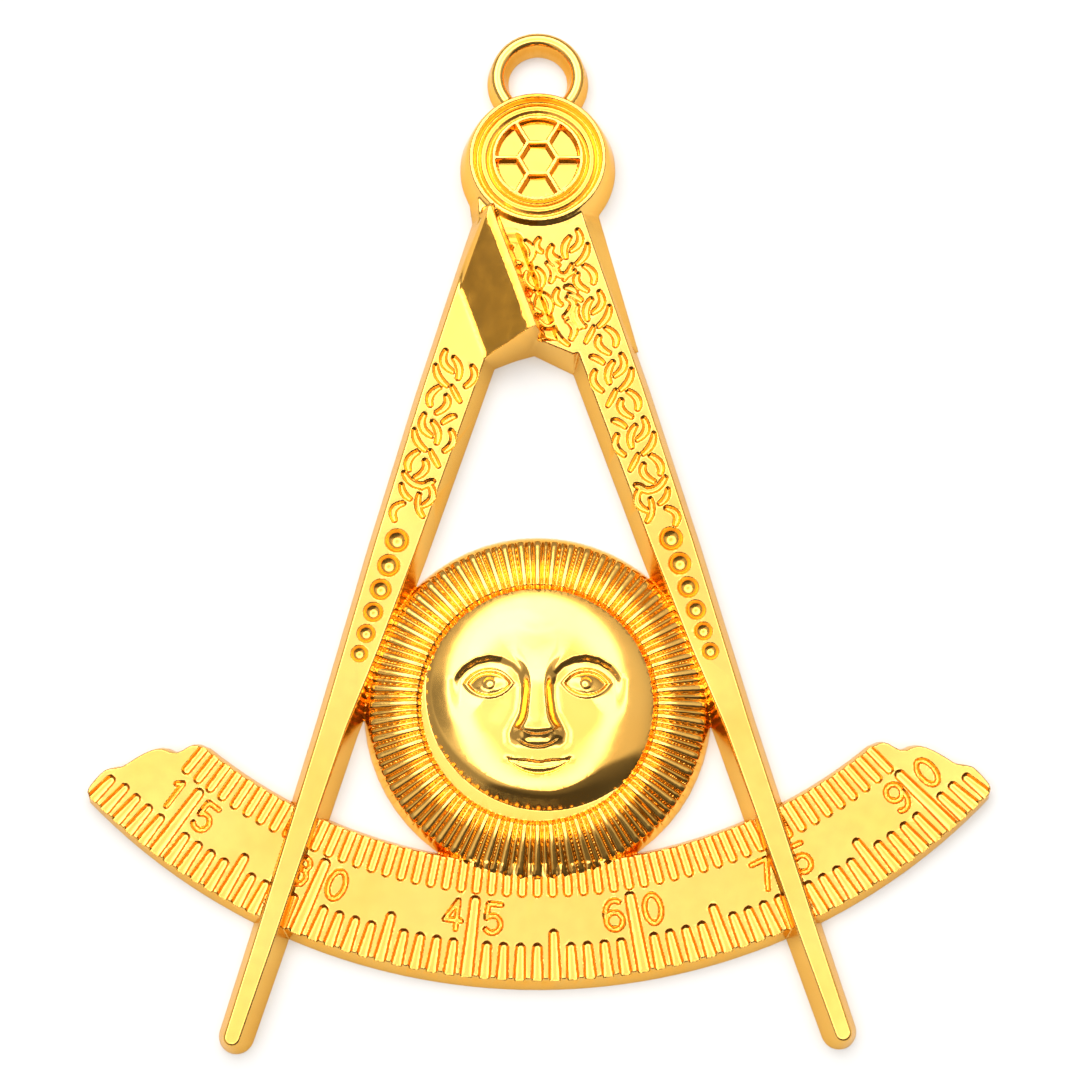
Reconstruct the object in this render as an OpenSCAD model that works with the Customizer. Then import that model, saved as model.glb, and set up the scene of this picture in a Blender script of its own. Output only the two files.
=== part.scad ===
/* [Hinge boss] */
// Radius of the boss at the back plane
boss_base_r = 7.0; // [6.6:0.1:7.6]
// Radius of the outer edge of the boss's front rim
boss_rim_r = 6.15; // [5.9:0.05:6.4]
// Height of the front rim above the back plane
boss_h = 3.0; // [2.7:0.1:3.6]
// Width of the front rim
boss_rim_w = 0.5; // [0.4:0.05:0.6]
// Width of the raised band inside the rim
boss_band_w = 0.62; // [0.5:0.02:0.7]
// Width of the two round grooves beside the band
boss_groove_w = 0.48; // [0.4:0.02:0.55]
// Depth of the round grooves below the rim
boss_groove_d = 0.5; // [0.3:0.05:0.7]

/* [Wheel on the boss] */
// Width of the wheel's thin outer ring
wheel_ring_w = 0.3; // [0.2:0.02:0.36]
// Radius of the wheel's hexagonal hub
wheel_hub_r = 1.8; // [1.5:0.02:2.1]
// Width of the hub's wall and of the spokes
wheel_spoke_w = 0.34; // [0.24:0.02:0.4]
// Number of spokes
wheel_spokes = 6; // [5:1:8]
// Depth of the cells between the spokes, from the top of the wheel
wheel_cell_d = 0.8; // [0.5:0.05:1]

/* [Hanging loop] */
// Distance from the boss's centre to the loop's centre
loop_y = 8.4; // [8.2:0.05:8.8]
// Outer radius of the loop at the back plane
loop_base_r = 4.62; // [4.4:0.02:4.9]
// Radius of the loop's hole at the back plane
loop_hole_r = 2.68; // [2.5:0.02:2.8]
// Thickness of the loop's flat base
loop_h = 1.25; // [1.1:0.05:1.5]
// Centre radius of the round ring that stands on the base
loop_ring_r = 3.66; // [3.56:0.02:3.74]
// Radius of the round ring's own section
loop_wire_r = 0.56; // [0.5:0.02:0.6]

/* [Legs] */
// Distance from the boss's centre down to the foot of both leg tips
tip_drop = 77.0; // [75:0.5:79]
// Angle of the left leg from straight down
left_angle = 17.1; // [16.6:0.1:17.6]
// Sideways offset of the left leg's line from the boss's centre
left_offset = -1.24; // [-1.5:0.02:-1]
// Angle of the right leg from straight down
right_angle = 18.0; // [17.5:0.1:18.5]
// Sideways offset of the right leg's line from the boss's centre
right_offset = 0.08; // [-0.1:0.02:0.2]
// Half width of a leg at its upper end, at the back plane
leg_half_w = 3.5; // [3.3:0.05:3.7]
// Height of the legs' face above the back plane
leg_h = 2.5; // [2.3:0.05:2.7]
// How far a leg's drafted side wall leans in from back to face
leg_wall_run = 0.8; // [0.6:0.05:0.95]
// Radius of the round leg tip at the back plane
tip_r = 1.45; // [1.35:0.05:1.55]
// Depth of the carved leaves
leaf_depth = 0.3; // [0.2:0.05:0.4]

/* [Dimples on the legs] */
// Number of round dimples on each leg
dimple_count = 6; // [4:1:7]
// Diameter of the largest dimple
dimple_d = 2.05; // [1.8:0.05:2.3]
// How much smaller each next dimple is
dimple_step = 0.12; // [0.06:0.01:0.16]
// Land between two dimples
dimple_land = 0.28; // [0.2:0.02:0.36]
// Distance from the boss's centre line to the first dimple
dimple_start = 36.4; // [36:0.1:37]
// Depth of a dimple as a share of its diameter
dimple_sink = 0.34; // [0.26:0.02:0.4]

/* [Shoulder] */
// Height of the shoulder's ridge above the back plane
ridge_h = 4.6; // [4.2:0.1:5]
// Width of the ridge's narrow flat top
ridge_w = 0.5; // [0.4:0.05:0.6]

/* [Sector] */
// Distance from the boss's centre down to the centre of the arcs
arc_drop = 16.9; // [16.7:0.1:17.1]
// Inner radius of the sector's face
arc_in_r = 44.95; // [44.6:0.05:45.3]
// Outer radius of the sector's face
arc_out_r = 54.1; // [53.8:0.1:54.4]
// Height of the sector's face above the back plane
arc_h = 1.9; // [1.7:0.1:2.1]
// How far the outer edge's wall leans in from back to face
arc_out_run = 0.85; // [0.7:0.05:1.1]
// How far the foot of the shaped ends stands out from their face
arc_end_run = 0.35; // [0.2:0.05:0.5]
// How far the inner edge's wall leans in from back to face
arc_in_run = 0.22; // [0.15:0.01:0.3]
// Half angle of the inner arc between the two shaped ends
arc_half_angle = 38.0; // [37.5:0.1:38.5]

/* [Scale] */
// Angle of one scale step beyond the first and the last mark
tick_pitch = 1.46; // [1.4:0.01:1.52]
// Angle of one step in the inner row
inner_pitch = 1.52; // [1.48:0.01:1.56]
// Width of a tick
tick_w = 0.72; // [0.5:0.02:0.8]
// Extra width of an outer tick where it opens at the edge
tick_flare = 0.24; // [0:0.02:0.3]
// Length of a short tick
tick_len = 2.8; // [2.4:0.1:3]
// Length of every fifth tick
mid_len = 3.9; // [3.6:0.1:4.2]
// Length of every tenth tick
long_len = 6.35; // [6.1:0.05:6.5]
// Length of a tick in the inner row
inner_len = 2.65; // [2.4:0.05:2.75]
// Depth of ticks and numerals
tick_depth = 0.35; // [0.2:0.05:0.5]

/* [Numerals] */
// Height of a numeral
digit_h = 2.65; // [2.4:0.05:2.75]
// Width of a numeral
digit_w = 1.7; // [1.5:0.05:1.85]
// Width of a numeral's stroke
digit_stroke = 0.36; // [0.26:0.02:0.42]
// Distance from a long tick's middle to the middle of a numeral
digit_gap = 1.62; // [1.5:0.02:1.8]

/* [Sun] */
// Distance from the boss's centre down to the sun's centre
sun_drop = 48.7; // [48.4:0.05:49]
// Radius of the sun at the back plane
sun_base_r = 14.68; // [14.5:0.02:14.9]
// Radius of the outer ends of the rays at their face
sun_rim_r = 14.1; // [13.9:0.05:14.3]
// Height of the rays at their outer ends
sun_rim_h = 2.2; // [2:0.05:2.4]
// Height of the rays' crest
ray_crest_h = 2.95; // [2.75:0.05:3.1]
// Number of broad rays, each with a narrow one beside it
ray_count = 60; // [48:2:64]
// Width of a narrow ray at the face's edge
ray_thin_w = 0.34; // [0.3:0.02:0.4]
// Width of the groove beside a ray
ray_groove_w = 0.26; // [0.2:0.02:0.3]
// Depth of the groove beside a ray
ray_groove_d = 0.5; // [0.3:0.05:0.6]

/* [Sun face] */
// Radius of the face's edge
face_r = 9.69; // [9.5:0.01:9.9]
// Width of the plain margin round the face's dome
face_margin = 0.9; // [0.7:0.05:1.1]
// Height of the margin above the back plane
face_margin_h = 2.6; // [2.5:0.05:2.8]
// Height of the dome's top above the back plane
face_top_h = 4.7; // [4.4:0.05:5]
// Half distance between the eyes
eye_x = 4.02; // [3.9:0.02:4.15]
// Distance from the sun's centre up to the eyes
eye_y = 1.5; // [1.4:0.05:1.6]
// Length of an eye
eye_len = 3.7; // [3.5:0.05:3.9]
// Length of the nose from the bridge to its lower end
nose_len = 6.4; // [6.1:0.05:6.6]
// Height of the nose's tip above the back plane
nose_h = 5.6; // [5.4:0.05:5.8]
// Width of the nose across its wings
nose_w = 4.1; // [3.9:0.05:4.3]
// Width of the mouth
mouth_w = 5.0; // [4.7:0.05:5.3]

/* [Hidden] */
GOLD = "gold";
$fn = 96;
EPS = 0.01;

// The part's origin is the middle of its back, so the boss's centre lies above it
loop_top = loop_y + loop_base_r;
boss_y = (tip_drop - loop_top) / 2;

// Boss: radii of the steps from the rim inwards
boss_groove_r = boss_rim_r - boss_rim_w;
boss_band_r = boss_groove_r - boss_groove_w;
boss_inner_r = boss_band_r - boss_band_w;
wheel_r = boss_inner_r - boss_groove_w;
cell_r = wheel_r - wheel_ring_w;
boss_floor_h = boss_h - boss_groove_d;
band_step = 0.1;
wheel_h = boss_h - 0.15;
cell_h = wheel_h - wheel_cell_d;

// Loop: how far its walls lean in, from the back to the base's face
loop_out_run = 0.4;
loop_in_run = 0.35;

// Rows of a leg: share of its length, then the shares of leg_half_w outside and inside
// The first row lies inside the hinge plate, clear of the boss
LEG_ROWS = [
    // along, outer, inner
    [0.12, 0.83, 0.94],
    [0.29, 0.82, 0.85],
    [0.47, 0.73, 0.74],
    [0.58, 0.64, 0.63],
    [0.67, 0.565, 0.49],
    [0.90, 0.45, 0.45],
    [1.00, 0.414, 0.414]
];
leg_edge = 0.25;
leaf_floor_h = leg_h - leaf_depth;

// Carved sprig that repeats along a leg: three points of each leaf and its width
SPRIG = [
    // down, side at the start, down, side at the middle, down, side at the end, width
    [0.10, 1.20, 1.15, 1.05, 1.70, 0.05, 0.50],
    [1.65, 1.65, 2.55, 1.05, 3.05, 0.15, 0.46],
    [0.40, 0.40, 1.20, -0.40, 2.15, -0.55, 0.50],
    [3.00, -0.25, 3.55, -0.65, 4.10, -1.35, 0.34],
    [0.80, -1.40, 1.65, -1.85, 2.70, -1.45, 0.48],
    [3.40, 0.75, 4.30, 1.25, 5.15, 0.95, 0.52],
    [3.85, 0.05, 4.70, -0.35, 5.55, 0.20, 0.50],
    [5.40, -1.15, 5.85, -0.80, 6.15, -0.40, 0.42]
];
sprig_pitch = 6.05;
leaf_steps = 6;
LEFT_SPRIGS = [19.0, 19.0 + sprig_pitch];
RIGHT_SPRIGS = [7.4, 7.4 + sprig_pitch, 7.4 + 2 * sprig_pitch, 7.4 + 3 * sprig_pitch];
// Closing sprig at the dimples
LAST_SPRIG = [
    [0.15, 1.35, 0.95, 0.10, 0.60, -1.05, 0.46],
    [0.70, -1.35, 1.60, -1.75, 2.55, -1.25, 0.48],
    [1.50, 1.25, 2.05, 0.80, 2.35, 0.20, 0.40],
    [1.70, -0.45, 2.80, -0.75, 3.60, -1.45, 0.40],
    [2.80, 0.60, 3.60, 1.20, 4.45, 0.80, 0.46]
];
// Carving on the hinge plate beside the ridge, measured from the boss's centre
PLATE_LEAVES = [
    [7.20, -2.30, 7.80, -2.75, 8.40, -2.45, 0.44],
    [8.30, -1.45, 8.90, -1.75, 9.55, -1.15, 0.44],
    [9.80, -1.60, 10.95, -1.60, 11.00, -0.30, 0.46],
    [12.20, -1.45, 12.45, -1.00, 12.85, -0.75, 0.46],
    [9.60, -2.30, 10.50, -2.05, 11.30, -2.55, 0.44],
    [12.20, -2.20, 12.90, -2.65, 13.60, -2.35, 0.44],
    [13.20, -1.60, 13.95, -1.35, 14.75, -2.40, 0.48],
    [14.20, -1.10, 15.10, -1.45, 16.10, -1.05, 0.52],
    [15.20, -2.30, 16.05, -1.95, 16.85, -2.50, 0.48],
    [15.60, -3.60, 16.60, -3.35, 17.30, -2.90, 0.36],
    [7.00, -4.90, 8.00, -5.20, 8.80, -4.60, 0.50],
    [7.10, -3.50, 8.10, -3.20, 8.90, -3.90, 0.50],
    [9.80, -4.30, 10.60, -4.60, 11.40, -4.20, 0.48],
    [9.80, -3.35, 10.60, -3.10, 11.40, -3.45, 0.44],
    [12.00, -4.30, 12.90, -4.75, 13.70, -4.30, 0.50],
    [12.20, -3.50, 13.10, -3.20, 14.00, -3.60, 0.46],
    [14.40, -4.60, 15.10, -4.10, 15.00, -3.40, 0.46]
];

// Shoulder: corners on the face, side and down from the boss's centre
RIDGE_TOP = [-4.4, -5.8];
RIDGE_FOOT = [-0.55, -16.5];
FACET_SIDE = [-6.85, -12.4];
FACET_FOOT = [-4.4, -18.5];
CROTCH_RIGHT = [3.1, -18.15];
crotch_run = 1.0;
// The hinge plate's face lies this far below the legs' faces
plate_drop = 0.04;
shoulder_run = 1.3;

// Scale: the long marks, counted from straight down, with the numerals beside them
MARKS = [
    // angle, left numeral, right numeral
    [-35.6, 1, 5],
    [-21.3, 3, 0],
    [-6.1, 4, 5],
    [9.1, 6, 0],
    [24.0, 7, 5],
    [38.9, 9, 0]
];
mark_step = 10;
ticks_before = 5;
end_tick_cut = 0.5;
ticks_after = 3;
last_mark = len(MARKS) - 1;
inner_middle = -6.1;
first_inner = -21;
last_inner = 29;
digit_r = arc_out_r - 4.7;
// Shaped ends, from the inner corner to the outer: share of the sector's width, angle past the arc
END_SHAPE = [
    [0.010, 0.30],
    [0.022, 0.85],
    [0.040, 1.15],
    [0.072, 1.40],
    [0.137, 1.65],
    [0.190, 1.95],
    [0.225, 2.50],
    [0.242, 3.10],
    [0.268, 3.60],
    [0.317, 4.00],
    [0.388, 4.35],
    [0.475, 4.65],
    [0.563, 4.87],
    [0.617, 5.05],
    [0.656, 5.35],
    [0.694, 5.68],
    [0.738, 5.93],
    [0.803, 5.98],
    [0.885, 5.93],
    [0.945, 5.85],
    [0.984, 5.65]
];
end_last = len(END_SHAPE) - 1;
// The right end reaches a little further than the left one
right_end_turn = 0.4;
outer_corner = 5.3;
arc_steps = 60;
trim_steps = 16;
trim_reach = 2.5;
// How deep the raised relief is rooted in the sector's body
relief_root = 0.3;
arc_floor_h = arc_h - tick_depth;

// Sun: radii and heights of the ray band, from the face's edge outwards
ray_root_r = face_r + 0.08;
ray_root_h = face_margin_h - 0.25;
ray_mid_r = (face_r + sun_rim_r) / 2 - 0.3;
sun_y = -sun_drop;

// Sun face: radius of the dome's sphere through the margin and the top
dome_r0 = face_r - face_margin;
dome_rise = face_top_h - face_margin_h;
dome_r = (dome_r0 * dome_r0 + dome_rise * dome_rise) / (2 * dome_rise);
nose_y = -2.7;
nose_tip_r = 1.0;
nose_wing_r = 0.85;
mouth_y = -5.5;

function polar(r, a) = [r * cos(a), r * sin(a)];
function lerp(a, b, t) = a + (b - a) * t;
// Height of the face's dome above the back plane, by the distance from the sun's centre
function dome_h(r) = face_top_h - dome_r + sqrt(dome_r * dome_r - r * r);
function leg_len(angle) = (tip_drop - tip_r) / cos(angle);
function dimple_size(i) = dimple_d - i * dimple_step;
function dimple_at(i) =
    i == 0 ? dimple_start
           : dimple_at(i - 1) + (dimple_size(i - 1) + dimple_size(i)) / 2 + dimple_land;

// Places a leg's own frame: +Y runs down the leg and +X to its outer side
module on_left_leg() {
    translate([left_offset, 0, 0])
        rotate(180 - left_angle)
            children();
}
module on_right_leg() {
    translate([right_offset, 0, 0])
        rotate(180 + right_angle)
            mirror([1, 0, 0])
                children();
}

// A leg's drafted bar, as rings of six points
module leg_bar(angle) {
    len = leg_len(angle);
    rings = [
        for (row = LEG_ROWS)
            let (y = row[0] * len)
            let (out = row[1] * leg_half_w)
            let (inn = row[2] * leg_half_w)
            let (run = leg_wall_run * min(1, out / (tip_r + leg_edge)))
            [
                [-inn, y, 0],
                [-inn + run, y, leg_h - leg_edge / 2],
                [-inn + run + leg_edge / 2, y, leg_h],
                [out - run - leg_edge / 2, y, leg_h],
                [out - run, y, leg_h - leg_edge / 2],
                [out, y, 0]
            ]
    ];
    n = 6;
    last = len(rings) - 1;
    points = [for (ring = rings) for (p = ring) p];
    sides = [
        for (k = [0 : last - 1])
            for (i = [0 : n - 1])
                for (half = [0, 1])
                    let (a = k * n + i)
                    let (b = k * n + (i + 1) % n)
                    half == 0 ? [b, a, a + n] : [b, a + n, b + n]
    ];
    first_cap = [for (i = [0 : n - 1]) i];
    last_cap = [for (i = [n - 1 : -1 : 0]) last * n + i];
    polyhedron(points, concat(sides, [first_cap, last_cap]), convexity = 4);
    translate([0, len, 0])
        cylinder(h = leg_h - leg_edge / 2, r1 = tip_r, r2 = tip_r - leg_wall_run);
}

// One row of round dimples, each a shallow cup
module dimples() {
    for (i = [0 : dimple_count - 1]) {
        d = dimple_size(i);
        sink = d * dimple_sink;
        ball = (d * d / 4 + sink * sink) / (2 * sink);
        translate([0, dimple_at(i), leg_h + ball - sink])
            sphere(ball);
    }
}

// A leaf along a curve through three points, pointed at both ends
module leaf(row) {
    a = [row[1], row[0]];
    b = [row[3], row[2]];
    c = [row[5], row[4]];
    steps = [for (k = [0 : leaf_steps]) k / leaf_steps];
    spine = [for (t = steps) a * (1 - t) * (1 - 2 * t) + b * 4 * t * (1 - t) + c * t * (2 * t - 1)];
    heading = [for (t = steps) a * (4 * t - 3) + b * (4 - 8 * t) + c * (4 * t - 1)];
    reach = [
        for (k = [0 : leaf_steps])
            [-heading[k][1], heading[k][0]] / norm(heading[k]) * row[6] / 2 * sqrt(sin(180 * steps[k]))
    ];
    polygon(concat(
        [for (k = [0 : leaf_steps]) spine[k] + reach[k]],
        [for (k = [leaf_steps - 1 : -1 : 1]) spine[k] - reach[k]]
    ));
}

module leaves(table, down) {
    translate([0, down])
        for (row = table)
            leaf(row);
}

module left_leaves() {
    for (down = LEFT_SPRIGS)
        leaves(SPRIG, down);
    leaves(LAST_SPRIG, 30.3);
}

module right_leaves() {
    for (down = RIGHT_SPRIGS)
        leaves(SPRIG, down);
    leaves(LAST_SPRIG, 30.9);
    leaves(PLATE_LEAVES, 0);
}

module leaf_cuts() {
    translate([0, 0, leaf_floor_h])
        linear_extrude(ridge_h)
            children();
}

// A plate with leaning sides, from an outline at the back to one at the face
module drafted_plate(back, face, height) {
    n = len(back);
    points = concat([for (p = back) [p[0], p[1], 0]], [for (p = face) [p[0], p[1], height]]);
    sides = [
        for (i = [0 : n - 1])
            for (half = [0, 1])
                let (j = (i + 1) % n)
                half == 0 ? [j, i, i + n] : [j, i + n, j + n]
    ];
    back_cap = [for (i = [0 : n - 1]) i];
    face_cap = [for (i = [2 * n - 1 : -1 : n]) i];
    polyhedron(points, concat(sides, [back_cap, face_cap]), convexity = 4);
}

// Flat plate under the boss that joins both legs, down to the crotch
module hinge_plate() {
    drafted_plate(
        [[-6.2, -3], [-3.9, -18.6], [-0.3, -17.6], [3.07, -19.3], [8.9, -17.2], [5.1, -3]],
        [[-5.4, -3], [-4.4, -17.4], [-0.6, -16.6], CROTCH_RIGHT, [7.5, -17.0], [3.3, -3]],
        leg_h - plate_drop
    );
}

// Shoulder of the left leg: a narrow ridge with a broad slanting facet beside it
module shoulder() {
    run = RIDGE_FOOT - RIDGE_TOP;
    side = [-run[1], run[0]] / norm(run) * ridge_w / 2;
    hull() {
        translate([0, 0, ridge_h - EPS])
            linear_extrude(EPS)
                polygon([RIDGE_TOP + side, RIDGE_TOP - side, RIDGE_FOOT - side, RIDGE_FOOT + side]);
        translate([0, 0, leg_h - EPS])
            linear_extrude(EPS)
                polygon([FACET_SIDE, FACET_FOOT, RIDGE_FOOT + side * 2, RIDGE_TOP + side * 2]);
        linear_extrude(EPS)
            polygon([
                RIDGE_TOP + side * 3,
                RIDGE_TOP - [shoulder_run + 0.35, -1.3],
                FACET_SIDE - [shoulder_run + 0.2, 0],
                FACET_FOOT - [0, crotch_run],
                RIDGE_FOOT - [0, crotch_run],
                RIDGE_FOOT + side * 3
            ]);
    }
}

module legs() {
    difference() {
        union() {
            on_left_leg()
                leg_bar(left_angle);
            on_right_leg()
                leg_bar(right_angle);
            hinge_plate();
        }
        leaf_cuts()
            on_left_leg()
                left_leaves();
        leaf_cuts()
            on_right_leg()
                right_leaves();
        on_left_leg()
            dimples();
        on_right_leg()
            dimples();
        // The boss fills this again, with its grooves and wheel clear
        translate([0, 0, -1])
            cylinder(h = 2 * ridge_h, r = boss_rim_r - boss_rim_w / 2);
    }
    shoulder();
}

// Round boss with its rim, grooves and band, and the wheel in the middle
module boss() {
    difference() {
        rotate_extrude()
            polygon([
                [0, 0],
                [boss_base_r, 0],
                [boss_rim_r, boss_h],
                [boss_groove_r, boss_h],
                [boss_groove_r - band_step, boss_floor_h],
                [boss_band_r + band_step, boss_floor_h],
                [boss_band_r, boss_h - band_step],
                [boss_inner_r, boss_h - band_step],
                [boss_inner_r - band_step, boss_floor_h],
                [wheel_r + band_step, boss_floor_h],
                [wheel_r, wheel_h],
                [0, wheel_h]
            ]);
        translate([0, 0, cell_h])
            linear_extrude(boss_h)
                wheel_cells();
    }
}

module wheel_cells() {
    hub_in = wheel_hub_r - wheel_spoke_w;
    circle(hub_in, $fn = wheel_spokes);
    difference() {
        circle(cell_r);
        circle(wheel_hub_r, $fn = wheel_spokes);
        for (i = [0 : wheel_spokes - 1])
            rotate(i * 360 / wheel_spokes)
                translate([0, -wheel_spoke_w / 2])
                    square([boss_rim_r, wheel_spoke_w]);
    }
}

// Loop above the boss: a flat drafted base with a round ring on it
module loop() {
    translate([0, loop_y, 0])
        cylinder(h = loop_h, r1 = loop_base_r, r2 = loop_base_r - loop_out_run);
    translate([0, loop_y, loop_h])
        rotate_extrude()
            translate([loop_ring_r, 0])
                circle(loop_wire_r, $fn = 48);
}

module loop_hole() {
    translate([0, loop_y, -EPS])
        cylinder(h = loop_h + 2 * EPS, r1 = loop_hole_r, r2 = loop_hole_r + loop_in_run);
    translate([0, loop_y, loop_h])
        cylinder(h = boss_h, r = loop_ring_r - loop_wire_r * 0.8);
}

// A point by its distance from the arcs' centre and its angle from straight down
function below(r, a) = [r * sin(a), -r * cos(a)];
function end_angle(way) = arc_half_angle + (way > 0 ? right_end_turn : 0);
// One point of a shaped end at the face, and the same point moved out to the foot of its wall
function end_face(way, k) =
    let (row = END_SHAPE[max(0, min(end_last, k))])
    below(lerp(arc_in_r, arc_out_r, row[0]), way * (end_angle(way) + row[1]));
function end_foot(way, k) =
    let (along = end_face(way, k + 1) - end_face(way, k - 1))
    let (run = lerp(arc_in_run, arc_end_run, END_SHAPE[k][0]))
    end_face(way, k) + way * run * [-along[1], along[0]] / norm(along);

// Outline of the sector's face, counter-clockwise
function face_line() = concat(
    [
        for (k = [0 : arc_steps])
            let (left = -end_angle(-1) - outer_corner)
            below(arc_out_r, lerp(left, end_angle(1) + outer_corner, k / arc_steps))
    ],
    [for (k = [end_last : -1 : 0]) end_face(1, k)],
    [for (k = [0 : arc_steps]) below(arc_in_r, lerp(end_angle(1), -end_angle(-1), k / arc_steps))],
    [for (k = [0 : end_last]) end_face(-1, k)]
);

// The shaped ends at the back, joined well clear of the two arcs
function foot_line() = concat(
    [
        for (k = [0 : trim_steps])
            let (left = -end_angle(-1) - outer_corner)
            below(arc_out_r + trim_reach, lerp(left, end_angle(1) + outer_corner, k / trim_steps))
    ],
    [for (k = [end_last : -1 : 0]) end_foot(1, k)],
    [
        for (k = [0 : trim_steps])
            below(arc_in_r - trim_reach, lerp(end_angle(1), -end_angle(-1), k / trim_steps))
    ],
    [for (k = [0 : end_last]) end_foot(-1, k)]
);

// Drafted body of the sector under its relief
module sector_body() {
    reach = arc_half_angle + outer_corner + 4;
    intersection() {
        rotate_extrude(angle = 2 * reach, start = -90 - reach, $fn = 180)
            polygon([
                [arc_in_r - arc_in_run, 0],
                [arc_out_r + arc_out_run, 0],
                [arc_out_r + arc_out_run * tick_depth / arc_h, arc_floor_h],
                [arc_in_r - arc_in_run * tick_depth / arc_h, arc_floor_h]
            ]);
        translate([0, 0, -EPS])
            linear_extrude(arc_h)
                polygon(foot_line());
    }
}

// Ticks open at the outer edge, with a round inner end
module outer_tick(length, width, flare) {
    root = arc_out_r - length + width / 2;
    far = arc_out_r + 1;
    translate([root, 0])
        circle(width / 2, $fn = 24);
    polygon([
        [root, -width / 2],
        [far, -(width + flare) / 2],
        [far, (width + flare) / 2],
        [root, width / 2]
    ]);
}

module inner_tick() {
    root = arc_in_r + inner_len - tick_w / 2;
    translate([root, 0])
        circle(tick_w / 2, $fn = 24);
    translate([arc_in_r - 1, -tick_w / 2])
        square([root - arc_in_r + 1, tick_w]);
}

// Angle of an outer tick, counted from the first mark
function tick_angle(i) =
    i < 0 ? MARKS[0][0] + i * tick_pitch
          : i > last_mark * mark_step ? MARKS[last_mark][0] + (i - last_mark * mark_step) * tick_pitch
          : let (k = min(last_mark - 1, floor(i / mark_step)))
            lerp(MARKS[k][0], MARKS[k + 1][0], i / mark_step - k);

// The first and the last tick are shorter, because the shaped ends leave them less room
module ticks() {
    last = last_mark * mark_step + ticks_after;
    for (i = [-ticks_before : last]) {
        long = i % mark_step == 0;
        outermost = i == -ticks_before || i == last;
        length = outermost ? tick_len - end_tick_cut
                           : long ? long_len : i % 5 == 0 ? mid_len : tick_len;
        rotate(-90 + tick_angle(i))
            outer_tick(length, long ? tick_w + 0.1 : tick_w, tick_flare);
    }
    for (i = [first_inner : last_inner])
        rotate(-90 + inner_middle + i * inner_pitch)
            inner_tick();
}

// Strokes of the numerals, about a middle point
module bar(x0, y0, x1, y1) {
    run = [x1 - x0, y1 - y0];
    translate([x0, y0])
        rotate(atan2(run[1], run[0]))
            translate([-digit_stroke / 2, -digit_stroke / 2])
                square([norm(run) + digit_stroke, digit_stroke]);
}

module ring(x, y, w, h) {
    translate([x, y])
        difference() {
            scale([w / h, 1])
                circle(h / 2, $fn = 48);
            scale([(w - 2 * digit_stroke) / (h - 2 * digit_stroke), 1])
                circle(h / 2 - digit_stroke, $fn = 48);
        }
}

module ring_part(x, y, w, h, cut_x, cut_y, cut_w, cut_h) {
    difference() {
        ring(x, y, w, h);
        translate([cut_x, cut_y])
            square([cut_w, cut_h]);
    }
}

module digit(n) {
    w = digit_w;
    h = digit_h;
    s = digit_stroke;
    top = h / 2 - s / 2;
    edge = w / 2 - s / 2;
    low_h = h * 0.62;
    low_y = -h / 2 + low_h / 2;
    if (n == 0)
        ring(0, 0, w, h);
    if (n == 1) {
        bar(0.1, top, 0.1, -top);
        bar(0.1, top, -0.3, top - 0.4);
    }
    if (n == 3) {
        up_h = h - low_h + s;
        ring_part(0, low_y, w, low_h, -w, low_y, w, low_h);
        ring_part(0, h / 2 - up_h / 2, w * 0.9, up_h, -w, -h / 2, w, h * 0.9);
    }
    if (n == 4) {
        bar(0.3, -top, 0.3, top);
        bar(0.3, top, -edge, -h * 0.18);
        bar(-edge, -h * 0.18, edge, -h * 0.18);
    }
    if (n == 5) {
        ring_part(0, low_y, w, low_h, -w, low_y - low_h * 0.2, w, low_h);
        bar(-edge + 0.1, low_y + low_h * 0.3, -edge + 0.2, top);
        bar(-edge + 0.2, top, edge - 0.1, top);
        bar(-edge + 0.1, low_y + low_h * 0.3, 0, low_y + low_h / 2 - s / 2);
    }
    if (n == 6)
        six();
    if (n == 7) {
        bar(-edge, top, edge, top);
        bar(edge, top, -0.25, -top);
    }
    if (n == 9)
        rotate(180)
            six();
}

module six() {
    h = digit_h;
    low_h = h * 0.6;
    ring(0, -h / 2 + low_h / 2, digit_w * 0.95, low_h);
    ring_part(0, 0, digit_w * 0.95, h, 0, -h, digit_w, h * 1.2);
}

module numerals() {
    for (mark = MARKS)
        for (place = [1, 2]) {
            gap = (place == 1 ? -1 : 1) * digit_gap;
            rotate(mark[0])
                translate([gap, -digit_r])
                    digit(mark[place]);
        }
}

// Drafted arc, and on it the face with its ticks and numerals left out
module sector() {
    translate([0, -arc_drop, 0]) {
        sector_body();
        translate([0, 0, arc_floor_h - relief_root])
            linear_extrude(tick_depth + relief_root)
                difference() {
                    polygon(face_line());
                    ticks();
                    numerals();
                }
    }
}

// Rays: a band of broad and narrow rays with grooves between them
module ray_band() {
    difference() {
        rotate_extrude($fn = 180)
            polygon([
                [0, 0],
                [sun_base_r, 0],
                [sun_rim_r, sun_rim_h],
                [ray_mid_r + 1, ray_crest_h - 0.15],
                [ray_mid_r, ray_crest_h],
                [ray_mid_r - 1, ray_crest_h - 0.12],
                [ray_root_r, ray_root_h],
                [0, ray_root_h]
            ]);
        for (i = [0 : ray_count - 1])
            for (way = [-1, 1])
                rotate(90 + i * 360 / ray_count)
                    ray_groove(way);
    }
}

// One groove, beside a narrow ray that widens outwards
module ray_groove(way) {
    side = (ray_thin_w + ray_groove_w) / 2;
    turn = atan(side / face_r);
    slope = atan((sun_rim_h - ray_crest_h) / (sun_rim_r - ray_mid_r));
    reach = sun_base_r - face_r + 1;
    rotate(way * turn)
        translate([face_r - 0.1, 0, ray_crest_h + 0.15 - ray_groove_d])
            rotate([0, -slope * 0.8, 0])
                rotate([45, 0, 0])
                    cube([reach, 2, 2]);
}

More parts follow.
